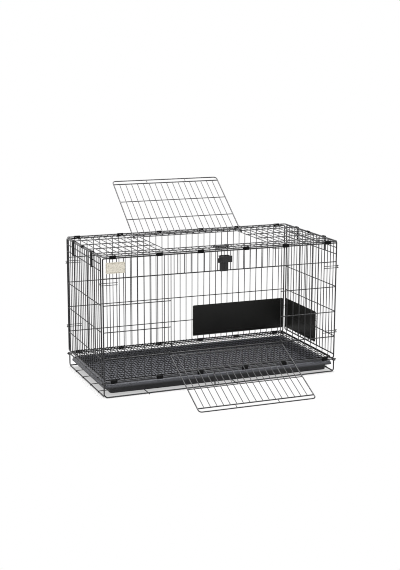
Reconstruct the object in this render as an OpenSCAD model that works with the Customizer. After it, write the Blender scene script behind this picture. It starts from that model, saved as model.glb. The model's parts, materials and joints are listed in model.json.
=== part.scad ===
// Folding wire rabbit cage with a ramp door, a top door, a slide-out pan and a mesh floor.
// X runs along the length, the ramp door is on the -Y side, and z = 0 is the ground.

/* [Cage] */
// Length between the two top end rods
cage_l = 940; // [840:10:1100]
// Depth between the front and back panels
cage_d = 455; // [420:5:560]
// Height of the top panel's wires
cage_h = 519; // [500:1:560]
// Height of the base frame's upper rails
base_h = 51; // [51:1:56]
// Height of the lowest level wire, which hinges the ramp door
sill_h = 142; // [130:1:160]
// Distance between level wires
level_pitch = 99; // [90:1:100]

/* [Wires] */
// Diameter of the panel wires
wire_d = 2.5; // [2:0.1:2.8]
// Diameter of the rods round each panel and the base
rod_d = 5; // [4:0.25:5.25]
// Diameter of the doors' outer wires and hinge wires
door_wire_d = 4; // [3.6:0.1:4.2]
// Gaps along the top and back panels
long_gaps = 36; // [34:2:40]
// Gaps across each end panel
end_gaps = 18; // [16:2:22]

/* [Doors] */
// Width of each door
door_w = 457; // [420:1:470]
// Reach of each door from its hinge
door_reach = 325; // [300:1:326]
// Gaps across each door
door_gaps = 18; // [14:1:22]
// Middle of the ramp door along the cage
ramp_x = 13; // [0:1:20]
// Angle at which the top door rests open
top_door_open = 144; // [120:1:144]
// Distance of the top door's hinge wire from the front panel
top_hinge_front = 362; // [361:1:364]

/* [End panels] */
// How far the end panels stand outside the end rods
end_out = 4.7; // [4.7:0.1:6.5]
// Height of the end panels' bottom rods
end_bottom = 68; // [68:1:76]

/* [Latches] */
// Width of a latch's base plate
plate_w = 34; // [30:1:40]
// Width of a latch's slide
slide_w = 56; // [50:1:64]
// Height of a latch's slide
slide_l = 24; // [22:0.5:25]
// Travel of a latch's slide
latch_travel = 20; // [18:0.5:20]

/* [Pan and floor] */
// Length of the pan's flange
pan_l = 936; // [800:2:936]
// Depth of the pan's flange
pan_d = 438; // [380:2:440]
// Wall of the pan
pan_wall = 2; // [1.5:0.1:3]
// Gaps along the mesh floor
floor_gaps_x = 24; // [16:1:30]
// Gaps across the mesh floor
floor_gaps_y = 12; // [8:1:14]

/* [Guards and label] */
// Thickness of the splash guards
guard_t = 2; // [1.5:0.1:2.4]
// Height of the splash guards
guard_h = 128; // [100:1:140]
// Length of the back guard
back_guard_l = 410; // [300:5:430]
// Length of the side guard
side_guard_l = 278; // [200:2:300]
// Width of the label plate
label_w = 73; // [50:1:90]
// Height of the label plate
label_h = 41; // [30:1:46]

/* [Hidden] */
$fn = 24;
snug = 0.15;        // between pieces that sit tight on each other
play = 0.3;         // between pieces that rest on each other
run = 0.4;          // round a hinge wire
wire_black = "#1d1c1e";
pan_black = "#333335";
guard_black = "#232321";
card_cream = "#e4dfd2";
wire_r = wire_d / 2;
rod_r = rod_d / 2;
door_r = door_wire_d / 2;
end_x = cage_l / 2;
side_y = cage_d / 2;
post_x = end_x - 0.5;                    // side rods of the front and back panels
join = rod_d + 1.5;                      // between the two rods that a clip holds
panel_low = base_h + join;
panel_high = cage_h - join;
levels = [for (i = [0:3]) sill_h + i * level_pitch];
// Opening of the ramp door, between its boundary wires
open_w = door_w - 11;
open_x0 = ramp_x - open_w / 2;
open_x1 = ramp_x + open_w / 2;
open_gaps = 17;
left_gaps = 10;
right_gaps = 9;
open_pitch = open_w / open_gaps;
// Top panel
top_pitch = cage_l / long_gaps;
top_door_lap = 19.6;                     // what the door covers beside its opening
top_open_x = door_w / 2 - top_door_lap;
top_side_gaps = round((end_x - top_open_x) / top_pitch);
top_hinge_y = top_hinge_front - side_y;
top_open_reach = 280;                    // opening's depth from the hinge
top_rows = [for (i = [0:3]) top_hinge_y - top_open_reach * i / 3];
top_latch_y = top_hinge_y - door_reach + 4;
// Doors: rails from the hinge, and how far the door's plane stands off its hinge wire
eye_wire_r = door_r - 0.1;
eye_r = door_r + run + eye_wire_r;
door_off = eye_r + 0.1;
door_rails = [12.5, 102, 203, door_reach - 19];
door_bend = 12;
stub_xs = [-83.5, 83.5];
// Angle of the ramp door from closed down to where its outer rail rests on the ground
ramp_open = 90 + asin((sill_h - door_r - 0.1) / norm([door_reach, door_off]))
    - atan2(door_off, door_reach);
// End panels
end_y = side_y - 9.5;
end_high = cage_h - 3.5;
end_pitch = 2 * end_y / end_gaps;
end_top_rows = [48.5, 23];               // the two highest level wires, below the top rod
strap_ys = [-111.5, 122];
strap_w = 9.5;
strap_t = 1.5;
strap_drop = 55;
clip_w = 23.5;
clip_t = 1.2;
clip_xs = [for (f = [-432, -254, -93, 89, 252, 430]) f * cage_l / 940];
// Corner hooks
hook_zs = [164, 420];
hook_gap = 8;
hook_back = 53;
hook_y = side_y + rod_r + wire_r + snug;
hook_x = end_x + end_out + rod_r + wire_r + play;
hook_in = 11.5;
// Base frame
ring_bend = 9;
upper_out = 8;
centre_post_x = -36;
bottom_ys = [-163.5, -67.5, 36.5, 128.5];
cross_xs = [-303, 51];
cross_tail = 24;
wrap_r = rod_r + wire_r + 0.05;
bottom_z = rod_r + wrap_r;
// Pan
pan_low = bottom_z + wire_r + play;
pan_top = base_h - 10;
pan_x = 0;
pan_y = -5;
pan_lip = 12;
pan_flange = [22, 6];                    // width of the flange at the ends and along the sides
pan_slope = 3;
pan_corner = 14;
pan_seam = pan_low + pan_wall + 0.4;     // the walls' pieces stand on the floor's piece here
// Mesh floor
floor_rod_r = 2;
floor_x = end_x - 10;
floor_y = side_y - 8.5;
foot_z = base_h + rod_r + play + wire_r;
floor_rod_z = foot_z + wire_r + floor_rod_r + 2.2;
floor_z = floor_rod_z + floor_rod_r - 0.25;
foot_ys = [-150, 0, 150];
// Guards
guard_under = 67;                        // lower edge below the ramp door's hinge wire
guard_z = sill_h - guard_under;
guard_ledge = 4.5;
back_guard_y = side_y - wire_r - play;
side_guard_x = end_x + end_out - wire_r - play;
side_guard_y = end_y - rod_r - 1;
side_guard_z = end_bottom + 13;
curl_r = 0.9;
curl_waves = 3;
curl_rise = 49;                          // its low end above the side guard's lower edge
curl_h = 53;
curl_w = 12;
curl_steps = 16;
// Label
label_drop = 62;                         // its lower edge below the top wires
// Latches, in the local frame of a door that lies flat: x across, y from the hinge, z out
plate_back = -wire_r - 1.5;
plate_front = wire_r + 0.5;
slide_back = door_off + door_r + 0.5;
slide_t = 4;
slide_low = door_reach + door_r + 0.6;
jaw_w = 3;
jaw_h = 5;
jaw_low = door_reach + door_r + 0.8 + latch_travel;
plate_low = levels[3] - sill_h - 4;
plate_len = jaw_low + jaw_h + 1.2 - plate_low;

// A straight wire from a to b
module wire(a, b, r = wire_r) {
    v = b - a;
    len = norm(v);
    translate(a) rotate([0, acos(v[2] / len), atan2(v[1], v[0])]) cylinder(h = len, r = r);
}

// A round corner or end of a wire
module ball(p, r = rod_r) translate(p) sphere(r = r);

// Gaps of one stretch of net: n columns between x0 and x1, rows between the values of ys
function bay(x0, x1, n, ys) = [for (i = [0:n - 1], j = [0:len(ys) - 2])
    [x0 + (x1 - x0) * i / n + wire_r, ys[j] + wire_r,
     x0 + (x1 - x0) * (i + 1) / n - wire_r, ys[j + 1] - wire_r]];

function corners(g) = [[g[0], g[1]], [g[2], g[1]], [g[2], g[3]], [g[0], g[3]]];

// Flat welded net in the XY plane, wire_d thick, with the listed rectangular gaps
module net(outline, gaps) {
    all = concat([outline], gaps);
    translate([0, 0, -wire_r]) linear_extrude(wire_d)
        polygon([for (g = all) each corners(g)],
            [for (i = [0:len(all) - 1]) [for (k = [0:3]) 4 * i + k]]);
}

// Rectangle of rods in the XY plane
module rod_frame(x0, y0, x1, y1, r = rod_r) {
    for (y = [y0, y1]) wire([x0, y, 0], [x1, y, 0], r);
    for (x = [x0, x1]) wire([x, y0, 0], [x, y1, 0], r);
    for (x = [x0, x1], y = [y0, y1]) ball([x, y, 0], r);
}

// Stands a flat panel up at the front or the back, so its y becomes z
module upright(y) translate([0, y, 0]) rotate([90, 0, 0]) children();

// Quarter bend of a rod round the Z axis, from +X to +Y
module quarter(radius, r) rotate_extrude(angle = 90) translate([radius, 0]) circle(r = r);

// One side of a strip of net, from its lowest row up: row ends at x, open gaps back to the bar
function comb_side(x, bar, ys) = [for (j = [0:len(ys) - 1]) each concat(
    [[x, ys[j] - wire_r], [x, ys[j] + wire_r]],
    j < len(ys) - 1 ? [[bar, ys[j] + wire_r], [bar, ys[j + 1] - wire_r]] : [])];

function reversed(list) = [for (i = [len(list) - 1:-1:0]) list[i]];

// Flat strip of net between two uprights of its neighbours
module strip(x0, x1, n, ys) {
    step = (x1 - x0) / n;
    rim = concat(comb_side(x1 - wire_r, x1 - step + wire_r, ys),
        reversed(comb_side(x0 + wire_r, x0 + step - wire_r, ys)));
    gaps = bay(x0 + step, x1 - step, n - 2, ys);
    translate([0, 0, -wire_r]) linear_extrude(wire_d)
        polygon(concat(rim, [for (g = gaps) each corners(g)]),
            concat([[for (i = [0:len(rim) - 1]) i]],
                [for (i = [0:len(gaps) - 1]) [for (k = [0:3]) len(rim) + 4 * i + k]]));
}

// Rods round the outer side of a piece of panel, open at x1
module half_frame(x0, y0, x1, y1) {
    for (y = [y0, y1]) wire([x0, y, 0], [x1, y, 0], rod_r);
    wire([x0, y0, 0], [x0, y1, 0], rod_r);
    for (y = [y0, y1]) ball([x0, y, 0]);
}

// Front panel beside the ramp door's opening, from the side rod at x0 to the upright at x1
module front_side(x0, x1, n) color(wire_black) upright(-side_y) {
    edge = x1 + sign(x1 - x0) * wire_r;
    net([min(x0, edge), panel_low, max(x0, edge), panel_high],
        bay(min(x0, x1), max(x0, x1), n, concat([panel_low], levels, [panel_high])));
    half_frame(x0, panel_low, edge, panel_high);
    wire([x0, sill_h, 0], [edge, sill_h, 0], door_r);
}

module front_panel_left() front_side(-post_x, open_x0, left_gaps);

module front_panel_right() front_side(post_x, open_x1, right_gaps);

// Front panel over or under the opening, with the rod that edges it and the wire across it
module front_strip(rows, rod_z) color(wire_black) upright(-side_y) {
    strip(open_x0, open_x1, open_gaps, rows);
    wire([open_x0 + wire_r, rod_z, 0], [open_x1 - wire_r, rod_z, 0], rod_r);
}

module front_panel_above() front_strip([levels[3], panel_high], panel_high);

module front_panel_below() {
    front_strip([panel_low, sill_h], panel_low);
    color(wire_black) upright(-side_y)
        wire([open_x0 + wire_r, sill_h, 0], [open_x1 - wire_r, sill_h, 0], door_r);
}

module back_panel() color(wire_black) upright(side_y) {
    net([-post_x, panel_low, post_x, panel_high],
        bay(-post_x, post_x, long_gaps, concat([panel_low], levels, [panel_high])));
    rod_frame(-post_x, panel_low, post_x, panel_high);
}

// Top panel beside the top door's opening, on the right
module top_side() color(wire_black) translate([0, 0, cage_h]) {
    edge = top_open_x - wire_r;
    rows = [-side_y, top_latch_y, top_rows[3], top_rows[2], top_rows[1], top_rows[0], side_y];
    net([edge, -side_y, end_x, side_y], bay(top_open_x, end_x, top_side_gaps, rows));
    half_frame(end_x, -side_y, edge, side_y);
    wire([edge, top_hinge_y, 0], [end_x, top_hinge_y, 0], door_r);
}

module top_panel_right() top_side();

module top_panel_left() mirror([1, 0, 0]) top_side();

// Top panel behind or before the opening, with the rod that edges it
module top_strip(rows, rod_y) color(wire_black) translate([0, 0, cage_h]) {
    half = top_open_x - wire_r;
    strip(-top_open_x, top_open_x, long_gaps - 2 * top_side_gaps, rows);
    wire([-half, rod_y, 0], [half, rod_y, 0], rod_r);
}

module top_panel_front() top_strip([-side_y, top_latch_y, top_rows[3]], -side_y);

module top_panel_back() {
    half = top_open_x - wire_r;
    top_strip([top_hinge_y, side_y], side_y);
    color(wire_black) translate([0, 0, cage_h])
        wire([-half, top_hinge_y, 0], [half, top_hinge_y, 0], door_r);
}

// End panel on the right, with the side rods just inside the corner posts
module end_panel() color(wire_black)
    translate([end_x + end_out, 0, 0]) rotate([90, 0, 90]) {
        rows = [end_bottom, levels[0], levels[1], levels[2], end_high - end_top_rows[0],
            end_high - end_top_rows[1], end_high];
        net([-end_y, end_bottom, end_y, end_high], bay(-end_y, end_y, end_gaps, rows));
        rod_frame(-end_y, end_bottom, end_y, end_high);
    }

module right_end_panel() end_panel();

module left_end_panel() mirror([1, 0, 0]) end_panel();

// Flat straps that hook over the end rod and lie down the outside of the end panel
module end_straps() color(wire_black) {
    inner = rod_r + play;
    outer = inner + strap_t;
    reach = end_out + rod_r + 0.05;
    arc = [for (a = [140:-10:90]) [cos(a), sin(a)]];
    outside = concat([for (p = arc) outer * p], [[reach + strap_t, outer], [reach + strap_t, -strap_drop]]);
    inside = concat([[reach, -strap_drop], [reach, inner]], [for (p = reversed(arc)) inner * p]);
    for (y = strap_ys) translate([end_x, y + strap_w / 2, cage_h]) rotate([90, 0, 0])
        linear_extrude(strap_w) polygon(concat(outside, inside));
}

module right_straps() end_straps();

module left_straps() mirror([1, 0, 0]) end_straps();

// Clip with one eye round the end rod and one round the end panel's top rod
module end_clip() color(wire_black) {
    eye = rod_r + play + clip_t;
    low = [end_x + end_out, end_high];
    span = [low[0] - end_x, low[1] - cage_h];
    width = end_pitch - wire_d - 2;
    translate([0, end_pitch / 2 + width / 2, 0]) rotate([90, 0, 0]) difference() {
        translate([end_x, cage_h]) rotate([0, 0, atan2(span[1], span[0])])
            translate([-eye, -eye, 0]) cube([norm(span) + 2 * eye, 2 * eye, width]);
        translate([end_x, cage_h, -1]) cylinder(h = width + 2, r = rod_r + play);
        translate([low[0], low[1], -1]) cylinder(h = width + 2, r = rod_r + snug);
    }
}

module right_end_clip() end_clip();

module left_end_clip() mirror([1, 0, 0]) end_clip();

// Sheet clips round two parallel rods, at heights low and low + join, slotted where wires leave
module long_clips(y, low, slots) color(wire_black) difference() {
    inner = rod_r + snug;
    for (x = clip_xs) translate([x - clip_w / 2, y, low]) rotate([90, 0, 90]) difference() {
        oval(inner + clip_t, clip_w);
        translate([0, 0, -1]) oval(inner, clip_w + 2);
    }
    for (s = slots) translate(s[0]) cube(s[1]);
}

module oval(r, h) {
    cylinder(h = h, r = r);
    translate([0, join, 0]) cylinder(h = h, r = r);
    translate([-r, 0, 0]) cube([2 * r, join, h]);
}

// Slots for upright wires above (way = 1) or below (way = -1) a clip at height z
function upright_slots(xs, y, z, way) = [for (x = xs)
    [[x - wire_r - play, y - wire_r - play, way > 0 ? z : z - 9],
     [wire_d + 2 * play, wire_d + 2 * play, 9]]];

// Slots for across wires that reach a clip from the inside of the cage
function across_slots(y, way) = [for (i = [1:long_gaps - 1])
    [[-end_x + i * top_pitch - wire_r - play, way > 0 ? y : y - 9, cage_h - wire_r - play],
     [wire_d + 2 * play, 9, wire_d + 2 * play]]];

front_xs = concat([for (i = [1:left_gaps - 1]) -post_x + (open_x0 + post_x) * i / left_gaps],
    [for (i = [0:open_gaps]) open_x0 + open_pitch * i],
    [for (i = [1:right_gaps - 1]) open_x1 + (post_x - open_x1) * i / right_gaps]);
back_xs = [for (i = [1:long_gaps - 1]) -post_x + 2 * post_x * i / long_gaps];

module top_front_clips() long_clips(-side_y, panel_high,
    concat(upright_slots(front_xs, -side_y, panel_high, -1), across_slots(-side_y, 1)));

module top_back_clips() long_clips(side_y, panel_high,
    concat(upright_slots(back_xs, side_y, panel_high, -1), across_slots(side_y, -1)));

module base_front_clips() long_clips(-side_y, base_h, upright_slots(front_xs, -side_y, panel_low, 1));

module base_back_clips() long_clips(side_y, base_h, upright_slots(back_xs, side_y, panel_low, 1));

// Double wire hooks at the front right corner that catch the end panel's side rod
module corner_hooks() color(wire_black) for (z = hook_zs) translate([0, 0, z]) {
    tip = [hook_x, -hook_y + hook_in, 0];
    for (s = [-1, 1]) translate([0, 0, s * hook_gap / 2]) {
        wire([post_x - hook_back, -hook_y, 0], [hook_x, -hook_y, 0]);
        ball([hook_x, -hook_y, 0], wire_r);
        wire([hook_x, -hook_y, 0], tip);
        ball(tip, wire_r);
    }
    wire(tip - [0, 0, hook_gap / 2], tip + [0, 0, hook_gap / 2]);
}

module front_right_hooks() corner_hooks();

module front_left_hooks() mirror([1, 0, 0]) corner_hooks();

module back_right_hooks() mirror([0, 1, 0]) corner_hooks();

module back_left_hooks() mirror([1, 0, 0]) mirror([0, 1, 0]) corner_hooks();

// Ring of rod on the ground, posts at its corners, and straight rails on the posts
module base_frame() color(wire_black) {
    for (s = [-1, 1]) {
        wire([ring_bend - end_x, s * side_y, rod_r], [end_x - ring_bend, s * side_y, rod_r], rod_r);
        wire([s * end_x, ring_bend - side_y, rod_r], [s * end_x, side_y - ring_bend, rod_r], rod_r);
        wire([-end_x - upper_out, s * side_y, base_h], [end_x + upper_out, s * side_y, base_h], rod_r);
        wire([s * end_x, -side_y, base_h], [s * end_x, side_y, base_h], rod_r);
        wire([centre_post_x, s * side_y, rod_r], [centre_post_x, s * side_y, base_h], rod_r);
    }
    for (i = [0, 1], j = [0, 1]) mirror([i, 0, 0]) mirror([0, j, 0]) {
        translate([end_x - ring_bend, side_y - ring_bend, rod_r]) quarter(ring_bend, rod_r);
        ball([end_x, side_y, rod_r]);
        wire([end_x, side_y, rod_r], [end_x, side_y, base_h], rod_r);
    }
    for (x = cross_xs) wire([x, -side_y - cross_tail, wire_r + 0.1], [x, side_y, wire_r + 0.1]);
}

// Lengthwise wires under the pan, bent over the end rods of the base
module pan_support_wires() color(wire_black) for (y = bottom_ys) translate([0, y, 0]) {
    wire([-end_x, 0, bottom_z], [end_x, 0, bottom_z]);
    for (s = [0, 1]) mirror([s, 0, 0]) translate([end_x, 0, rod_r]) rotate([90, 0, 0])
        quarter(wrap_r, wire_r);
}

module rounded(l, d, r, h) linear_extrude(h)
    offset(r = r, $fn = 32) square([l - 2 * r, d - 2 * r], center = true);

// Sloping tub of the pan, smaller all round by inset
module tub(inset, low, high) {
    l = pan_l - 2 * pan_flange[0] - 2 * inset;
    d = pan_d - 2 * pan_flange[1] - 2 * inset;
    hull() {
        translate([0, 0, high - 0.1]) rounded(l, d, pan_corner - inset, 0.1);
        translate([0, 0, low]) rounded(l - 2 * pan_slope, d - 2 * pan_slope, pan_corner - inset, 0.1);
    }
}

// The whole moulded pan
module whole_pan() translate([pan_x, pan_y, 0]) difference() {
    union() {
        tub(0, pan_low, pan_top);
        translate([0, 0, pan_top - pan_wall]) rounded(pan_l, pan_d, pan_corner, pan_wall);
        translate([0, 0, pan_top - pan_lip]) difference() {
            rounded(pan_l, pan_d, pan_corner, pan_lip - pan_wall / 2);
            translate([0, 0, -1]) rounded(pan_l - 2 * pan_wall, pan_d - 2 * pan_wall,
                pan_corner - pan_wall, pan_lip + 2);
        }
    }
    tub(pan_wall, pan_low + pan_wall, pan_top + 0.2);
}

// Half lengths of the pan's straight walls, up to where its corners turn
pan_run_x = pan_l / 2 - pan_flange[0] - pan_slope - pan_corner;
pan_run_y = pan_d / 2 - pan_flange[1] - pan_slope - pan_corner;

// Part of the pan between two corners of a box
module pan_part(low, high) color(pan_black) intersection() {
    whole_pan();
    translate(low + [pan_x, pan_y, 0]) cube(high - low);
}

module pan_floor() pan_part([-pan_l, -pan_d, 0], [pan_l, pan_d, pan_seam]);

module pan_long_walls() for (s = [-1, 1]) {
    mid = s * (pan_run_y + pan_d / 2);
    pan_part([-pan_run_x, mid - pan_d / 2, pan_seam], [pan_run_x, mid + pan_d / 2, base_h]);
}

module pan_end_walls() for (s = [-1, 1]) {
    mid = s * (pan_run_x + pan_l / 2);
    pan_part([mid - pan_l / 2, -pan_run_y, pan_seam], [mid + pan_l / 2, pan_run_y, base_h]);
}

module pan_corners() for (s = [-1, 1], t = [-1, 1]) {
    mid = [s * (pan_run_x + pan_l / 2), t * (pan_run_y + pan_d / 2), 0];
    pan_part(mid + [-pan_l / 2, -pan_d / 2, pan_seam], mid + [pan_l / 2, pan_d / 2, base_h]);
}

module floor_grid() color(wire_black) {
    translate([0, 0, floor_z + wire_r]) net([-floor_x, -floor_y, floor_x, floor_y],
        bay(-floor_x, floor_x, floor_gaps_x,
            [for (i = [0:floor_gaps_y]) -floor_y + 2 * floor_y * i / floor_gaps_y]));
    translate([0, 0, floor_rod_z]) rod_frame(-floor_x, -floor_y, floor_x, floor_y, floor_rod_r);
    for (y = foot_ys, s = [-1, 1]) {
        wire([s * (floor_x - wire_r), y, foot_z], [s * (end_x + 2), y, foot_z]);
        wire([s * floor_x, y, foot_z], [s * floor_x, y, floor_rod_z]);
    }
}

// A door in its own flat frame: x across, y from the hinge wire's axis, z out of the cage
module door() {
    half = door_w / 2;
    translate([0, 0, door_off]) {
        net([-half, door_rails[0], half, door_rails[3]], bay(-half, half, door_gaps, door_rails));
        for (i = [0, 3]) wire([-half, door_rails[i], 0], [half, door_rails[i], 0], door_r);
        wire([-half + door_bend, door_reach, 0], [half - door_bend, door_reach, 0], door_r);
        for (x = stub_xs) wire([x, door_rails[3], 0], [x, door_reach, 0]);
        for (s = [0, 1]) mirror([s, 0, 0]) {
            wire([half, -1, 0], [half, door_reach - door_bend, 0], door_r);
            translate([half - door_bend, door_reach - door_bend, 0]) quarter(door_bend, door_r);
        }
    }
    for (s = [-1, 1]) translate([s * half, 0, 0]) rotate([0, 90, 0])
        rotate_extrude() translate([eye_r, 0]) circle(r = eye_wire_r);
}

// Places a piece of the ramp door or its latch, turned down from closed by an angle
module at_front(turn) translate([0, -side_y, sill_h]) rotate([90 + turn, 0, 0]) children();

// Places a piece of the top door or its latch, turned open from closed by an angle
module at_top(turn) translate([0, top_hinge_y, cage_h]) rotate([-turn, 0, 0]) rotate([0, 0, 180])
    children();

module front_door() color(wire_black) at_front(ramp_open) translate([ramp_x, 0, 0]) door();

module top_door() color(wire_black) at_top(top_door_open) door();

// Base plate of a latch, grooved for the wire at xs and the cross wire at cross_y
module latch_plate(x, cross_y) difference() {
    translate([x - plate_w / 2, plate_low, plate_back])
        cube([plate_w, plate_len, plate_front - plate_back]);
    translate([x - wire_r - snug, plate_low - 1, -wire_r - snug]) cube([wire_d + 2 * snug, plate_len + 2, 9]);
    translate([x - plate_w, cross_y - wire_r - snug, -wire_r - snug])
        cube([2 * plate_w, wire_d + 2 * snug, 9]);
}

// Slide of a latch: a chamfered plate with a ribbed tab and two jaws round the base plate
module latch_slide(x) translate([x, 0, 0]) {
    chamfer = 8;
    half = slide_w / 2;
    top = slide_low + slide_l;
    translate([0, 0, slide_back]) linear_extrude(slide_t) polygon([[-half, slide_low], [half, slide_low],
        [half, top], [-half + chamfer, top], [-half, top - chamfer]]);
    for (i = [0:4]) translate([-half + 1, slide_low + 2 + i * 3.2, slide_back + slide_t - 0.2])
        cube([13, 1.6, 1.2]);
    translate([half - 4, slide_low, slide_back + slide_t - 0.2]) cube([4, slide_l, 1.2]);
    for (s = [0, 1]) mirror([s, 0, 0]) {
        translate([plate_w / 2 + play, jaw_low, plate_back - play - 2])
            cube([jaw_w, jaw_h, slide_back + 0.1 - plate_back + play + 2]);
        translate([plate_w / 2 - jaw_w, jaw_low, plate_back - play - 2])
            cube([2 * jaw_w + play, jaw_h, 2]);
    }
}

front_latch_x = open_x0 + 8 * open_pitch;

module front_latch_plate() color(pan_black) at_front(0) latch_plate(front_latch_x, levels[3] - sill_h);

module front_latch_slide() color(pan_black) at_front(0) latch_slide(front_latch_x);

module top_latch_plate() color(pan_black) at_top(0) latch_plate(0, top_hinge_y - top_latch_y);

module top_latch_slide() color(pan_black) at_top(0) latch_slide(0);

// Splash guard inside the back panel, with a ledge along its foot and a lip at its left end
module back_guard() color(guard_black) {
    x1 = post_x - 4;
    x0 = x1 - back_guard_l;
    translate([0, back_guard_y - guard_t, guard_z]) difference() {
        union() {
            translate([x0, 0, 0]) cube([back_guard_l, guard_t, guard_h]);
            translate([x0, guard_t - guard_ledge, 0]) cube([back_guard_l, guard_ledge, guard_t]);
            translate([x0, guard_t - guard_ledge, 0]) cube([guard_t, guard_ledge, guard_h]);
        }
        translate([x0 + 12, -guard_ledge, guard_h - 16]) cube([14, 3 * guard_ledge, 4]);
    }
}

// Splash guard inside the right end panel
module side_guard() color(guard_black) {
    y0 = side_guard_y - side_guard_l;
    translate([side_guard_x - guard_t, y0, side_guard_z]) {
        cube([guard_t, side_guard_l, guard_h - 4]);
        translate([guard_t - guard_ledge, 0, 0]) cube([guard_ledge, side_guard_l, guard_t]);
        translate([guard_t - guard_ledge, 0, 0]) cube([guard_ledge, guard_t, guard_h - 4]);
    }
}

// Tube of round rings along a list of points, swept by the points' own directions
module tube(points, r, sides = 6) {
    n = len(points);
    rings = [for (i = [0:n - 1]) let (
        d = points[min(i + 1, n - 1)] - points[max(i - 1, 0)],
        t = d / norm(d),
        u = cross([1, 0, 0], t),
        v = cross(t, u / norm(u)))
        for (k = [0:sides - 1])
            points[i] + r * (cos(360 * k / sides) * v + sin(360 * k / sides) * u / norm(u))];
    walls = [for (i = [0:n - 2], k = [0:sides - 1]) let (a = i * sides + k, b = i * sides + (k + 1) % sides)
        each [[a, b, a + sides], [b, b + sides, a + sides]]];
    last = (n - 1) * sides;
    caps = [for (k = [1:sides - 2]) each [[0, k + 1, k], [last, last + k, last + k + 1]]];
    polyhedron(rings, concat(walls, caps));
}

// Curly wire on the outside of the right end panel that holds the side guard's edge
module guard_spring() color(wire_black) {
    x = end_x + end_out + wire_r + curl_r + play;
    y = side_guard_y - side_guard_l + 4;
    steps = curl_waves * curl_steps;
    points = [for (i = [0:steps]) [x, y + curl_w * sin(360 * i / curl_steps),
        side_guard_z + curl_rise + curl_h * i / steps]];
    echo(curl_gap = curl_h / curl_waves / 2 - 2 * curl_r);
    tube(points, curl_r);
}

// Bare card on the front wires near the left corner
module label_plate() color(card_cream)
    translate([-end_x + 11, -side_y - wire_r - play - 1, cage_h - label_drop])
    cube([label_w, 1, label_h]);

base_frame();
pan_support_wires();
pan_floor();
pan_long_walls();
pan_end_walls();
pan_corners();
floor_grid();
front_panel_left();
front_panel_right();
front_panel_above();
front_panel_below();
back_panel();
top_panel_left();
top_panel_right();
top_panel_back();
top_panel_front();
left_end_panel();
right_end_panel();
left_straps();
right_straps();
left_end_clip();
right_end_clip();
top_front_clips();
top_back_clips();
base_front_clips();
base_back_clips();
front_left_hooks();
front_right_hooks();
back_left_hooks();
back_right_hooks();
front_door();
top_door();
front_latch_plate();
front_latch_slide();
top_latch_plate();
top_latch_slide();
back_guard();
side_guard();
guard_spring();
label_plate();
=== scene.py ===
"""Black wire rabbit cage: coated wire panels, ramp door, top door, pan, mesh floor and guards."""

import json
import math

import bmesh
import bpy
from bpy.props import FloatProperty, FloatVectorProperty, IntProperty, PointerProperty
from mathutils import Matrix, Vector


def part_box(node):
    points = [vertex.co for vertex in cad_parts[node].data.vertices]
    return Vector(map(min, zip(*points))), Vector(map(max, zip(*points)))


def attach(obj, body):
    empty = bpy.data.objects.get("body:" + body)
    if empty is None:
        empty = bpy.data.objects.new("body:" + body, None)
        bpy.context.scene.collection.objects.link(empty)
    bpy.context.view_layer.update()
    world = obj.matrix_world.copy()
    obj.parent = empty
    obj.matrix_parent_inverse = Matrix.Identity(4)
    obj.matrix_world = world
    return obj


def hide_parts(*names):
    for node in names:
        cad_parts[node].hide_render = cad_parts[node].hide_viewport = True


bl_info = {
    "name": "Wire Rabbit Cage",
    "version": (1, 0, 0),
    "blender": (4, 5, 0),
    "location": "3D View > Sidebar > Cage",
    "description": "Dresses a folding wire rabbit cage around its construction frame",
    "category": "Object",
}

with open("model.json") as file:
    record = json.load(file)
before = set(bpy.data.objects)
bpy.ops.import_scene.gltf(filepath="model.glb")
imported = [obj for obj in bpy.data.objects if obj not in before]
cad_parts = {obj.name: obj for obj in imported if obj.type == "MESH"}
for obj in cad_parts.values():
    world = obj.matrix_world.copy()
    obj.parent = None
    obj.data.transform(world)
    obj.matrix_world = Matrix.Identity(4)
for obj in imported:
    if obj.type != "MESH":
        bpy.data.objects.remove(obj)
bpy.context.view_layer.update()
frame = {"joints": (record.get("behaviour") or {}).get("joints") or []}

MM = 0.001
JOINTS = {joint["name"]: joint for joint in frame["joints"]}


# ---- Small helpers ------------------------------------------------------------------------

def middle(node):
    """Centre of a node's box."""
    low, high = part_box(node)
    return (low + high) / 2


def on_circle(radius, degrees):
    """The two coordinates of a point on a circle."""
    turn = math.radians(degrees)
    return radius * math.cos(turn), radius * math.sin(turn)


def turned(degrees, axis):
    """A turn about an axis."""
    return Matrix.Rotation(math.radians(degrees), 4, axis)


def srgb(code):
    """Linear colour of an sRGB hex value."""
    parts = [int(code[i:i + 2], 16) / 255 for i in (0, 2, 4)]
    return tuple(p / 12.92 if p <= 0.04045 else ((p + 0.055) / 1.055) ** 2.4 for p in parts) + (1.0,)


# ---- Places and sizes of the rods, read from the frame where it has them -------------------

ROD_R = 2.5 * MM                 # border rods and the base frame
DOOR_R = 2.0 * MM                # rods of the doors, hinge wires and the floor's border
EYE_R = 4.8 * MM                 # ring of a door's hinge eye, at the wire's middle
DOOR_OFF = 4.4 * MM              # a door's plane stands this far off its hinge wire
_, TOP_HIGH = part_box("top_panel_right")
END_X = TOP_HIGH.x - ROD_R
SIDE_Y = TOP_HIGH.y - ROD_R
TOP_Z = TOP_HIGH.z - ROD_R
WALL_LOW, WALL_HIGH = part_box("front_panel_right")
POST_X = WALL_HIGH.x - ROD_R
PANEL_LOW = WALL_LOW.z + ROD_R
PANEL_HIGH = WALL_HIGH.z - ROD_R
RAMP_X, _, SILL_Z = JOINTS["ramp_door_hinge"]["pos_m"]
_, ROOF_Y, _ = JOINTS["roof_door_hinge"]["pos_m"]
RAMP_OPEN = JOINTS["ramp_door_hinge"]["range_deg"][1]
ROOF_OPEN = JOINTS["roof_door_hinge"]["range_deg"][1]
_, END_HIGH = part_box("right_end_panel")
END_PLANE = END_HIGH.x - ROD_R
END_Y = END_HIGH.y - ROD_R
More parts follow.
